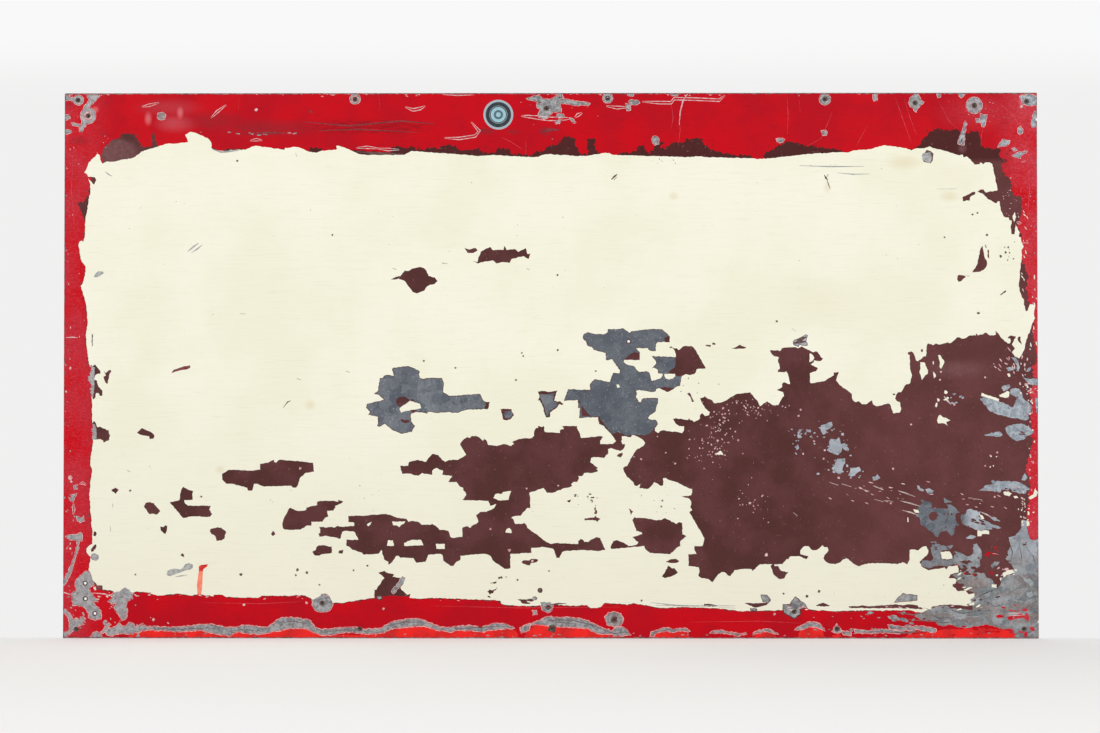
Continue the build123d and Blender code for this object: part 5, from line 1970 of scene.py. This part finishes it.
DRIP_HEAD: Outline = (
    198.5, 567, 200, 565.5, 207.5, 564.5, 206.5, 567, 203, 569.5, 202.5, 571.5, 198.5, 571.5,
)
DRIP_BODY: Outline = (
    198.5, 571, 202.5, 571, 201.5, 590, 200.5, 595, 197, 595, 196.5, 585,
)

# Dots: centre and radius in pixels
DARK_DOTS: tuple[Outline, ...] = (
    (499, 578, 1.2), (501, 577.5, 1.3), (894, 394, 1.2), (558, 275, 1.1), (130, 491, 1.1), (424, 361, 1.2),
    (455.5, 368, 1), (596, 371, 1), (987.5, 234.5, 1.3), (1001, 256, 1.4), (1008.5, 247, 1), (1006, 252, 1.2),
    (978.5, 312.8, 1.4), (945, 237, 1), (973, 214, 1), (978, 212.5, 1), (641, 600.5, 1), (806.5, 596, 1.4),
    (783, 593.5, 1.1), (240.5, 575, 1.6), (297, 570, 1.6), (295.5, 575.5, 1), (306.5, 573, 1.3),
    (319, 585, 1), (367, 566, 1), (353, 570.5, 1), (662, 500.5, 1), (661, 506.5, 1), (135, 575, 1),
    (201, 497, 1), (516, 380, 1), (523.5, 356, 1), (522, 353, 0.9), (558, 350, 1), (548.5, 571, 1),
    (517, 580, 1), (333, 235, 1), (88, 516, 1), (238, 161, 1.1), (777, 321, 1.1), (818.5, 591, 1.4),
    (928.4, 157, 6.2), (540, 590.5, 2.3),
)
# Pale dots are flecks in the paint, except the last, a painted highlight on the knock near the top right
# corner
PALE_DOTS: tuple[Outline, ...] = (
    (257, 110, 1.5), (70, 478, 2), (71, 482, 1.2), (70.5, 368.5, 1.4), (66, 392, 1), (70, 549, 1),
    (153, 620, 1.5), (243.5, 605, 1.2), (383, 609, 1.2), (306, 603, 1.2), (774, 614, 1.2),
    (800.5, 409.5, 1.1), (798.5, 415.7, 1.1), (814, 441, 1), (803, 453.5, 1), (823.5, 458.5, 1),
    (824.5, 450, 1), (893, 468.3, 1.1), (749.5, 503, 1.2), (766, 554.5, 1.6), (717.5, 440.5, 1),
    (738, 440, 1), (985, 377, 1), (911, 424, 1), (641, 459, 1), (675, 463.5, 1), (526.5, 488.5, 1),
    (558, 485.5, 1), (997, 452, 1), (990, 455, 0.9), (985, 465.5, 0.9), (990, 466.5, 0.9), (509, 550.5, 1.5),
    (490, 529, 1.1), (890.5, 503, 1), (954, 404, 1.2), (838.5, 477.5, 1.2), (1020, 383, 1), (1026, 384, 1.6),
    (941, 371.5, 1), (940, 379.5, 1), (945, 392, 1), (994.5, 496.5, 1.1), (300, 468.5, 1.2), (532, 561, 1.2),
    (1022, 106, 1.5),
)
RUST_SPOTS: tuple[Outline, ...] = (
    (551.3, 629, 4.2), (613.5, 619.8, 3.4), (793.4, 611.5, 2), (1010, 193.5, 1.6),
)

# Scattered specks on the undercoat
PALE_FLECKS: tuple[Cluster, ...] = (
    Cluster((1003, 360), (14, 8), 9, 0.55, 3.6, 40), Cluster((1018, 366), (8, 14), 12, 0.6, 2.4, 80),
    Cluster((1006, 391), (6, 5), 7, 0.5, 1.8), Cluster((717, 425), (28, 40), 70),
    Cluster((713, 452), (24, 14), 40), Cluster((747, 398), (18, 14), 34), Cluster((765, 410), (30, 10), 30),
    Cluster((722, 420), (10, 14), 14, 0.8), Cluster((752, 500), (16, 14), 14),
    Cluster((690, 462), (50, 30), 8), Cluster((750, 505), (24, 30), 12),
    Cluster((882, 494), (44, 14), 24, 0.45, 4.0, 16), Cluster((1029, 440), (4, 60), 18, 0.7, 1.5, 80),
    Cluster((1022, 508), (3, 24), 12, 0.6, 1.6, 80), Cluster((1030, 385), (12, 16), 12, 0.7, 1.4),
    Cluster((985, 500), (40, 12), 12, 0.45, 3.8, 22), Cluster((1005, 572), (8, 5), 9, 1.1, 1.8, 150),
    Cluster((72, 560), (8, 50), 8, 0.4, 4.0, 110), Cluster((850, 607), (120, 2), 24, 0.6, 3.4),
    Cluster((420, 598), (260, 3), 26, 0.45, 2.8), Cluster((220, 595), (120, 3), 22, 0.6, 3.0),
    Cluster((420, 94.6), (620, 1.6), 70, 0.4, 2.6), Cluster((105, 142), (16, 16), 10, 0.4),
    Cluster((990, 112), (50, 24), 8, 0.35, 2.4, 30), Cluster((1012, 203), (12, 22), 24, 0.4, 1.4),
    Cluster((76, 250), (10, 120), 12, 0.35, 2.6, 70), Cluster((105, 612), (50, 30), 14, 0.4, 2.4, 30),
)


# Pieces


@dataclass
class SignSheet:
    """The galvanised sheet: one piece with sheared edges, dished nail holes and torn notches."""

    width: float = 1270.0
    height: float = 711.2
    thickness: float = 0.7
    corner: float = 1.2
    bevel: float = 0.25
    lip_wall: float = 0.4
    lip_height: float = 0.6
    notch_points: int = 9
    corner_points: int = 5
    weld_reach_m: float = 2e-6
    notches: tuple[tuple[float, float, float], ...] = ((635.0, 320.6, 1.9), (635.0, -333.6, 1.2))

    def outline(self, inset: float) -> np.ndarray:
        """Draw the sheet's edge.

        Args:
            inset: How far inside the true edge it runs.

        Returns:
            The loop, anticlockwise from the right edge's lower end.
        """
        half_x, half_z = self.width / 2 - inset, self.height / 2 - inset
        radius = self.corner - inset
        points = []
        for x, z, reach in sorted(self.notches, key=lambda notch: notch[1]):
            turn = np.linspace(-math.pi / 2, -1.5 * math.pi, self.notch_points)
            grown = reach + inset
            rows = np.column_stack([x + grown * np.cos(turn), z + grown * np.sin(turn)])
            rows[:, 0] = np.minimum(rows[:, 0], half_x)
            points += list(rows)
        for side, end, first in ((1, 1, 0), (-1, 1, 1), (-1, -1, 2), (1, -1, 3)):
            turn = (first + np.linspace(0, 1, self.corner_points)) * math.pi / 2
            middle = (side * (half_x - radius), end * (half_z - radius))
            arc = radius * np.column_stack([np.cos(turn), np.sin(turn)])
            points += list(arc + np.array(middle))
        return np.array(points)

    def wall(self, mesh: Mesh, rims: Sequence[tuple[np.ndarray, np.ndarray]], inward: bool) -> None:
        """Join matching loops by a band of faces.

        Args:
            mesh: The mesh that takes them.
            rims: The loops from the front to the back, each with its places along Y.
            inward: Whether the band faces the middle of the loops.
        """
        count = len(rims[0][0])
        rows = np.vstack([np.column_stack([loop[:, 0], y, loop[:, 1]]) for loop, y in rims])
        faces = []
        for level in range(len(rims) - 1):
            for i in range(count):
                j = (i + 1) % count
                near, far = level * count, (level + 1) * count
                face = (near + i, near + j, far + j, far + i)
                faces.append(face if inward else face[::-1])
        mesh.put(rows, faces)

    def make(self, material: bpy.types.Material) -> bpy.types.Object:
        """Build the sheet in place of its CAD node.

        Args:
            material: Its finish.

        Returns:
            The sheet's object.
        """
        mesh = Mesh()
        front = Area().add(self.outline(self.bevel))
        back = Area().add(self.outline(0.0))
        bores = [hollow for hollow in RELIEF.hollows if hollow.kind is not Dent.KNOCK]
        for hollow in bores:
            deep = hollow.kind is Dent.DEEP_NAIL
            front.cut(ring((hollow.x, hollow.z), hollow.bore))
            back.cut(ring((hollow.x, hollow.z), hollow.bore + (self.lip_wall if deep else 0)))
        for area, level, turned in ((front, -self.thickness, False), (back, 0.0, True)):
            places, triangles = triangulate(area)
            rows = np.column_stack([places[:, 0], level + RELIEF.sink(places), places[:, 1]])
            mesh.put(rows, triangles[:, ::-1] if turned else triangles)
        outer, inner = self.outline(0.0), self.outline(self.bevel)
        flat, face = np.zeros(len(outer)), -self.thickness
        self.wall(mesh, [(inner, flat + face), (outer, flat + face + self.bevel), (outer, flat)], False)
        for hollow in bores:
            bore = ring((hollow.x, hollow.z), hollow.bore)
            low = np.full(len(bore), float(hollow.sink(np.array([hollow.bore]))[0]))
            rims = [(bore, low - self.thickness), (bore, low)]
            if hollow.kind is Dent.DEEP_NAIL:
                lip = ring((hollow.x, hollow.z), hollow.bore + self.lip_wall)
                root = np.full(len(lip), float(hollow.sink(np.array([hollow.bore + self.lip_wall]))[0]))
                top = low + self.lip_height
                rims = [(bore, low - self.thickness), (bore, top), (lip, top), (lip, root)]
            self.wall(mesh, rims, True)
        piece = mesh.build("sheet_metal", material, Slot.ZINC)
        self.weld(piece)
        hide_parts("sign_sheet")
        return piece

    def weld(self, piece: bpy.types.Object) -> None:
        """Merge the vertices that the sheet's faces share.

        Args:
            piece: The sheet's object.
        """
        work = bmesh.new()
        work.from_mesh(piece.data)
        bmesh.ops.remove_doubles(work, verts=work.verts, dist=self.weld_reach_m)
        open_edges = sum(not edge.is_manifold for edge in work.edges)
        work.to_mesh(piece.data)
        work.free()
        LOG.info("sheet_metal: %d open edges after welding", open_edges)


@dataclass
class RoundLabel:
    """The round adhesive label: the CAD node itself, printed with plain rings."""

    node: str = "round_label"

    def dress(self, material: bpy.types.Material) -> None:
        """Give the node its finish.

        Args:
            material: The finish.
        """
        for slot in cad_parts[self.node].material_slots:
            slot.material = material
        LOG.info("%s: dressed", self.node)


@dataclass
class Studio:
    """The camera, the soft lamps, the pale floor, the wall and the world. Sizes are in metres."""

    place: Triple = (0.0119, -2.789, -0.0448)
    turn: Triple = (90.884, 0.002, 0.254)
    lens: float = 70.0
    sensor: float = 36.0
    floor_level: float = -0.3556
    floor_reach: float = 4.0
    floor_fade: tuple[float, float] = (0.75, 1.6)
    floor_glow: float = 0.1
    floor_tone: Colour = srgb(251, 250, 249)
    backdrop: Colour = srgb(250, 250, 250)
    wall_gap: float = 0.005
    wall_reach: float = 2.0
    wall_fade: tuple[float, float] = (1.2, 1.8)
    # Painted shade on the wall: darker beside the sign, paler above its top
    wall_shade_fade: tuple[float, float] = (0.34, 0.44)
    wall_shaded_tone: Colour = srgb(241, 240, 240)
    wall_lit_tone: Colour = srgb(249, 249, 249)
    # Painted shade: a dark patch behind the sheet, so the nail holes look dark
    wall_painted_shade: Colour = srgb(62, 54, 50)
    shade_half_width: float = 0.63
    shade_half_height: float = 0.35
    shade_soft: float = 0.001
    # Painted light lifting that shade at the lower left holes and one in the middle
    painted_lit_holes: tuple[Spot, ...] = (Spot((88, 598), (14, 24), 0.1), Spot((629, 341), (5, 5), 0.1))
    ambient: float = 0.6
    lamp_power: float = 25.0
    lamp_size: float = 1.8
    lamps: tuple[tuple[str, Triple], ...] = (
        ("lamp_left", (-1.6, -2.3, 1.5)), ("lamp_right", (1.7, -2.4, 1.3)),
    )

    def camera(self) -> None:
        """Place the camera where the photograph was taken from."""
        data = bpy.data.cameras.new("camera")
        data.lens = self.lens
        data.sensor_width = self.sensor
        data.clip_end = 100.0
        camera = bpy.data.objects.new("camera", data)
        camera.location = self.place
        camera.rotation_euler = [math.radians(angle) for angle in self.turn]
        bpy.context.scene.collection.objects.link(camera)
        bpy.context.scene.camera = camera

    def lamp(self, name: str, place: Triple) -> None:
        """Hang one soft lamp that faces the sign.

        Args:
            name: Its name.
            place: Where it hangs.
        """
        data = bpy.data.lights.new(name, "AREA")
        data.shape = "SQUARE"
        data.size = self.lamp_size
        data.energy = self.lamp_power
        lamp = bpy.data.objects.new(name, data)
        lamp.location = place
        lamp.rotation_euler = (-Vector(place)).to_track_quat("-Z", "Y").to_euler()
        bpy.context.scene.collection.objects.link(lamp)

    def world(self) -> None:
        """Light everything evenly and show the pale backdrop behind."""
        board = Board("studio", world=True)
        rays = board.node("ShaderNodeLightPath", {}, {}).outputs
        seen = Value(board, rays["Is Camera Ray"]) | Value(board, rays["Is Glossy Ray"])
        seen = seen | Value(board, rays["Is Transmission Ray"])
        light = board.node("ShaderNodeBackground", {}, {"Color": (1.0, 1.0, 1.0), "Strength": self.ambient})
        view = board.node("ShaderNodeBackground", {}, {"Color": self.backdrop})
        mixed = board.mix(seen, light.outputs[0], view.outputs[0])
        board.node("ShaderNodeOutputWorld", {}, {"Surface": mixed})
        bpy.context.scene.world = board.owner

    def stage(self, board: Board, name: str, corners: Sequence[Triple]) -> bpy.types.Object:
        """Set up one flat piece of the studio.

        Args:
            board: Its finished material.
            name: Its name.
            corners: Its four corners, anticlockwise as seen from the side that shows.

        Returns:
            The new object.
        """
        data = bpy.data.meshes.new(name)
        data.from_pydata(corners, [], [(0, 1, 2, 3)])
        data.materials.append(board.owner)
        piece = bpy.data.objects.new(name, data)
        bpy.context.scene.collection.objects.link(piece)
        return piece

    def floor(self) -> None:
        """Lay the pale floor, which fades into the backdrop far off."""
        board = Board("studio_floor")
        flat = board.vector("MULTIPLY", board.at, (1.0, 0.45, 0.0)).outputs[0]
        away = Value(board, board.vector("LENGTH", flat).outputs["Value"]).step(*self.floor_fade)
        paint = board.node("ShaderNodeBsdfDiffuse", {}, {"Color": self.floor_tone}).outputs[0]
        glow = board.node("ShaderNodeEmission", {}, {}).outputs[0]
        clear = board.node("ShaderNodeBsdfTransparent", {}, {}).outputs[0]
        mixed = board.mix(away, board.mix(self.floor_glow, paint, glow), clear)
        board.node("ShaderNodeOutputMaterial", {}, {"Surface": mixed})
        low, reach = self.floor_level, self.floor_reach
        corners = [(-reach, -reach, low), (reach, -reach, low), (reach, reach, low), (-reach, reach, low)]
        self.stage(board, "studio_floor", corners)

    def glow(self, board: Board, tone: Colour) -> bpy.types.NodeSocket:
        """Add a shader that shows one tone as it is."""
        return board.node("ShaderNodeEmission", {}, {"Color": tone}).outputs[0]

    def wall(self) -> None:
        """Put a pale wall close behind the sign, seen only from the front, with the sign's shade painted on
        it: darker beside the sign, and a dark patch behind the sheet that painted light lifts at a few holes.
        """
        board = Board("studio_wall")
        x, z = board.axis("X"), board.axis("Z")
        # Painted shade: darker beside the sign, paler above it
        pale = board.mix(
            z.step(*self.wall_shade_fade), self.glow(board, self.wall_shaded_tone), self.glow(board, self.wall_lit_tone)
        )
        # Painted shade behind the sheet, lifted by painted light at a few holes
        wide, tall, soft = self.shade_half_width, self.shade_half_height, self.shade_soft
        painted_shade_mask = x.band(-wide - soft, wide + soft, soft) * z.band(-tall - soft, tall + soft, soft)
        painted_light_mask = board.spots(*self.painted_lit_holes)
        shaded = board.mix(painted_shade_mask - painted_light_mask, pale, self.glow(board, self.wall_painted_shade))
        behind = Value(board, board.node("ShaderNodeNewGeometry", {}, {}).outputs["Backfacing"])
        far = Value(board, board.vector("LENGTH", board.at).outputs["Value"]).step(*self.wall_fade)
        clear = board.node("ShaderNodeBsdfTransparent", {}, {}).outputs[0]
        mixed = board.mix(behind | far, shaded, clear)
        board.node("ShaderNodeOutputMaterial", {}, {"Surface": mixed})
        low, reach, y = self.floor_level, self.wall_reach, self.wall_gap
        corners = [(-reach, y, low), (reach, y, low), (reach, y, reach), (-reach, y, reach)]
        piece = self.stage(board, "studio_wall", corners)
        for kind in ("diffuse", "glossy", "transmission", "shadow"):
            setattr(piece, f"visible_{kind}", False)

    def build(self) -> None:
        """Set up the whole studio."""
        bpy.context.scene.view_settings.view_transform = "Standard"
        self.camera()
        self.world()
        self.floor()
        self.wall()
        for name, place in self.lamps:
            self.lamp(name, place)


@dataclass(frozen=True)
class Mark:
    """One set of marks on the paint: where they are, how they lie and what they look like."""

    area: Area
    layer: Layer
    slot: Slot
    finish: MarkFinish

    def build(self, limit: np.ndarray) -> None:
        """Build the marks as one film that keeps within a limit."""
        self.area.limit = limit
        film(self.area, self.layer).build(self.finish.name, self.finish.material(), self.slot)


@dataclass
class Paintwork:
    """Every coat of paint on the sheet's front, and the marks on them. Sizes are in millimetres."""

    edge_inset: float = 0.3
    bore_play: float = 0.05
    fray: float = 0.45
    border_fray: float = 0.8
    ring_fray: tuple[float, float] = (1.0, 0.7)
    red_fray: float = 1.9
    red_fray_step: float = 1.5
    red_lap_side: float = 0.2
    red_lap_low: float = 0.5
    red_lap_end: float = 840.0
    undercoat_over_bare: float = 0.8
    undercoat_over_patch: float = 0.7
    red_off_bare: float = 0.6
    red_off_right: float = 0.3
    rim_start: float = 0.35
    rim_end: float = 1.15
    hollow_from: float = 1.3
    hollow_outside: float = 1.9
    hollow_inside: float = 0.2
    grime_side: float = 0.7
    grime_end: float = 1.35
    grime_fray: float = 0.6
    grime_step: float = 3.0
    rust_reach: float = 1.5
    rust_fray: float = 0.8
    rust_step: float = 0.9

    def sheet(self) -> np.ndarray:
        """Draw the line that the paint ends at along the sheet's edge."""
        return SignSheet().outline(self.edge_inset)

    def nails(self, reach: float) -> list[np.ndarray]:
        """Draw a round loop at each nail hole, a reach outside its bore."""
        nails = [hollow for hollow in RELIEF.hollows if hollow.kind is not Dent.KNOCK]
        return [ring((hollow.x, hollow.z), hollow.bore + reach) for hollow in nails]

    def bores(self) -> list[np.ndarray]:
        """Draw the nail holes, which no coat covers."""
        return self.nails(self.bore_play)

    def dots(self, rows: Iterable[Outline]) -> list[np.ndarray]:
        """Draw a row of dots, each given by its place and radius in pixels."""
        return [blot((u, v), size) for u, v, size in rows]

    def loops(
        self, shapes: Iterable[Outline], grown: float = 0, fray: float | None = None
    ) -> list[np.ndarray]:
        """Lay a row of outlines on the sheet.

        Args:
            shapes: The outlines, in pixels.
            grown: How far they are pushed outwards.
            fray: How far their edges stray.

        Returns:
            The loops in millimetres.
        """
        fray = self.fray if fray is None else fray
        return [grow(ragged(trace(*shape), fray), grown) for shape in shapes]

    def border_bare(self, grown: float) -> Area:
        """Draw what is bare all over the border.

        Args:
            grown: How far each bare place is pushed outwards.

        Returns:
            The area.
        """
        area = Area().add(*self.loops((*BARE_CHIPS, *BOTTOM_BAND), grown, self.border_fray))
        pitch = PHOTO.pitch()
        outer_fray, inner_fray = self.ring_fray
        for place, outer, inner, tall in BARE_RINGS:
            centre = PHOTO.place([place])[0]
            area.add(grow(ragged(ring(centre, outer * pitch, 20, tall), outer_fray), grown))
            if inner:
                area.cut(grow(ragged(ring(centre, inner * pitch, 16, tall), inner_fray), -grown))
        return area

    def less_bare(self, area: Area, grown: float = 0.0) -> Area:
        """Cut what is bare all over the border, and the nail holes, out of a coat."""
        area.loops += self.border_bare(grown).turned()
        return area.cut(*scatter(BARE_FLECKS), *self.bores())

    def undercoat(self) -> Area:
        """Draw the undercoat: all over, except where the metal is bare.

        Returns:
            The area.
        """
        patch = ragged(trace(*BARE_PATCH_EDGE, *BARE_PATCH_LOWER_RIM), self.fray)
        area = Area().add(self.sheet()).cut(*self.loops(BARE_THROUGH_CREAM, -self.undercoat_over_bare))
        area.add(*self.loops([*UNDERCOAT_IN_LEFT_PATCH, CREAM_IN_LEFT_PATCH]))
        area.cut(*self.loops(MIXED_FLAKES_BARE), grow(patch, -self.undercoat_over_patch))
        area.add(*self.loops([*UNDERCOAT_ON_BARE_PATCH, *CREAM_ON_BARE_PATCH]))
        area.cut(*self.loops([*BARE_RIGHT, BARE_CORNER], 0.0, self.border_fray), *self.loops(BARE_SPECKS))
        area.add(*self.loops([UNDERCOAT_IN_BARE_RIGHT, *UNDERCOAT_IN_CORNER, *RED_IN_CORNER]))
        area.add(*scatter(CORNER_UNDERCOAT))
        return self.less_bare(area)

    def red_inner(self) -> np.ndarray:
        """Draw the red border's inner edge; it hardly reaches under the cream where the two meet.

        Returns:
            The loop.
        """
        low = np.reshape(CREAM_BOTTOM, (-1, 2)) + (0.0, self.red_lap_low)
        side = np.reshape(CREAM_LEFT, (-1, 2)) - (self.red_lap_side, 0.0)
        run = PHOTO.place(np.vstack([low[low[:, 0] < self.red_lap_end], side]))
        loop = np.vstack([trace(*RED_INNER_TOP, *RED_INNER_RIGHT), run])
        return ragged(loop, self.red_fray, self.red_fray_step)

    def old_red(self) -> Area:
        """Draw the older coat along the bottom edge.

        Returns:
            The area.
        """
        area = Area().add(self.sheet()).cut(trace(*ABOVE_OLD_RED))
        area.cut(*self.loops([BARE_CORNER], 0.0, self.border_fray))
        area.cut(*self.loops(BARE_THROUGH_CREAM, self.red_off_bare))
        return self.less_bare(area)

    def red(self) -> Area:
        """Draw the red border.

        Returns:
            The area.
        """
        area = Area().add(self.sheet()).cut(self.red_inner(), *self.loops([LEFT_STRIP, *LEFT_SLIVERS]))
        area.cut(*self.loops([*OLD_RED_SHOWN, *RED_OFF_LOW], 0.0, self.border_fray))
        area.cut(*self.loops([*BARE_RIGHT, BARE_CORNER], self.red_off_right, self.border_fray))
        area.cut(*scatter(HAIRS)).add(*self.loops(RED_IN_CORNER), *scatter(CORNER_RED))
        area.cut(*self.loops(BARE_THROUGH_CREAM, self.red_off_bare))
        return self.less_bare(area, self.rim_start)

    def pale_rims(self) -> Area:
        """Draw the thin pale rims of the bare places in the border, broken here and there.

        Returns:
            The area.
        """
        area = self.border_bare(self.rim_end)
        area.loops += self.border_bare(self.rim_start).turned()
        return area.cut(*self.bores())

    def cream(self) -> Area:
        """Draw the cream field, its flakes and what is left of it on the undercoat.

        Returns:
            The area.
        """
        flaked = (*FLAKES_FIELD, *FLAKES_MIDDLE, *FLAKES_RIGHT, *FLAKES_LEFT, *FLAKES_BOTTOM, *MIXED_FLAKES)
        area = Area(limit=self.sheet()).add(ragged(trace(*CREAM_EDGE), self.fray))
        area.cut(*self.loops([*flaked, *BARE_THROUGH_CREAM]))
        area.add(*self.loops([CREAM_IN_LEFT_PATCH, *CREAM_ON_BARE_PATCH, *CREAM_ISLANDS]))
        return area.add(*scatter(CREAM_FLECKS)).cut(*self.bores())

    def strokes(self, runs: Iterable[Outline], hollow: float = math.inf) -> Area:
        """Draw a row of strokes; those wider than a limit show only as outlines.

        Args:
            runs: A width and a run for each stroke, in pixels.
            hollow: The width from which they are hollow.

        Returns:
            The area.
        """
        area = Area()
        for width, *run in runs:
            if width > hollow:
                area.add(stroke(width + self.hollow_outside, *run))
                area.cut(stroke(width + self.hollow_inside, *run))
            else:
                area.add(stroke(width, *run))
        return area

    def pale_scratches_and_highlight(self) -> Area:
        """Draw the pale scratches, flecks and dots in the red; the last dot is a painted highlight."""
        area = self.strokes(PALE_ON_RED, self.hollow_from).add(*scatter(PALE_FLECKS))
        return area.add(*self.dots(PALE_DOTS)).cut(*self.bores())

    def nail_rust(self) -> Area:
        """Draw the rust round the nail holes, and its spots."""
        rings = [ragged(loop, self.rust_fray, self.rust_step) for loop in self.nails(self.rust_reach)]
        return Area().add(*rings, *self.dots(RUST_SPOTS)).cut(*self.bores())

    def grime(self) -> Area:
        """Draw the dark line of grime along the sheet's edges, broken here and there.

        Returns:
            The area.
        """
        half_x = SignSheet().width / 2 - self.grime_side
        half_z = SignSheet().height / 2 - self.grime_end
        inner = np.array([(-half_x, -half_z), (half_x, -half_z), (half_x, half_z), (-half_x, half_z)])
        return Area().add(self.sheet()).cut(ragged(inner, self.grime_fray, self.grime_step))

    def marks(self) -> list[Mark]:
        """Draw every set of marks.

        Returns:
            The marks, in the order in which they are built.
        """
        dark = self.strokes(DARK_ON_CREAM).add(*self.dots(DARK_DOTS), *scatter(DARK_FLECKS))
        grey = self.strokes(GREY_ON_CREAM).add(trace(*GREY_SWOOSH), trace(*GREY_SMEAR), *self.dots(GREY_DOTS))
        lights = self.strokes(CORNER_PALE).add(*self.loops(CORNER_LIGHT, 0.0, 1.0))
        return [
            Mark(
                self.pale_rims(), Layer.ON_RED, Slot.RED,
                MarkFinish("pale_rims", srgb(224, 198, 196), srgb(186, 120, 124)),
            ),
            Mark(
                self.strokes(FAINT_ON_RED), Layer.ON_RED, Slot.RED,
                MarkFinish("faint_scratches", srgb(208, 84, 92), srgb(196, 50, 62)),
            ),
            # Pale scratches and dots, one dot a painted highlight
            Mark(
                self.pale_scratches_and_highlight(), Layer.ON_RED, Slot.RED,
                MarkFinish("pale_scratches_and_highlight", srgb(222, 196, 194), srgb(200, 140, 146)),
            ),
            Mark(
                self.strokes(PALE_ON_UNDERCOAT), Layer.ON_RED, Slot.CREAM,
                MarkFinish("undercoat_scratches", srgb(206, 190, 186), srgb(172, 146, 148)),
            ),
            Mark(
                dark, Layer.ON_CREAM, Slot.UNDERCOAT,
                MarkFinish("dark_marks", srgb(84, 58, 56), srgb(110, 84, 78)),
            ),
            Mark(
                self.strokes(DARK_ON_RED), Layer.ON_RED, Slot.UNDERCOAT,
                MarkFinish("dark_smears", srgb(112, 34, 40), srgb(140, 52, 56)),
            ),
            Mark(
                grey, Layer.TOP_MARK, Slot.CREAM,
                MarkFinish("grey_smears", srgb(146, 148, 150), srgb(182, 182, 178)),
            ),
            Mark(
                self.strokes(CORNER_DARK), Layer.STAIN, Slot.ZINC,
                MarkFinish("corner_scratches", srgb(84, 86, 90), srgb(104, 100, 100)),
            ),
            Mark(
                lights, Layer.STAIN, Slot.ZINC,
                MarkFinish("corner_lights", srgb(160, 165, 168), srgb(140, 145, 148)),
            ),
            Mark(
                self.strokes(BAND_STREAKS), Layer.ON_RED, Slot.ZINC,
                MarkFinish("band_streaks", srgb(118, 98, 98), srgb(96, 92, 96)),
            ),
            Mark(
                Area().add(*self.loops(MAROON_DASHES)), Layer.ON_CREAM, Slot.UNDERCOAT,
                MarkFinish("maroon_dashes", srgb(128, 62, 66), srgb(104, 46, 50)),
            ),
            Mark(
                Area().add(trace(*DRIP_HEAD)), Layer.TOP_MARK, Slot.OLD_RED,
                MarkFinish("red_drip", srgb(190, 22, 17), srgb(216, 60, 44)),
            ),
            Mark(
                Area().add(trace(*DRIP_BODY)), Layer.ON_CREAM, Slot.OLD_RED,
                MarkFinish("faded_drip", srgb(247, 122, 98), srgb(240, 148, 124)),
            ),
            Mark(
                self.nail_rust(), Layer.TOP_MARK, Slot.ZINC,
                MarkFinish("nail_rust", srgb(74, 52, 46), srgb(104, 80, 70)),
            ),
            Mark(
                self.grime(), Layer.TOP_MARK, Slot.UNDERCOAT,
                MarkFinish("edge_grime", srgb(96, 58, 58), srgb(150, 120, 118)),
            ),
        ]

    def build(self) -> None:
        """Build every coat and mark."""
        undercoat = UndercoatFinish().material()
        film(self.undercoat(), Layer.UNDERCOAT).build("undercoat", undercoat, Slot.UNDERCOAT)
        film(self.old_red(), Layer.OLD_RED).build("old_red_coat", OldRedFinish().material(), Slot.OLD_RED)
        film(self.red(), Layer.RED).build("red_coat", RedFinish().material(), Slot.RED)
        film(self.cream(), Layer.CREAM).build("cream_coat", CreamFinish().material(), Slot.CREAM)
        limit = self.sheet()
        for mark in self.marks():
            mark.build(limit)


def main() -> None:
    """Build the sign and its studio, piece by piece."""
    logging.basicConfig(level=logging.INFO, format="%(name)s: %(message)s")
    Studio().build()
    SignSheet().make(ZincFinish().material())
    RoundLabel().dress(LabelFinish().material())
    Paintwork().build()


if __name__ == "__main__":
    main()
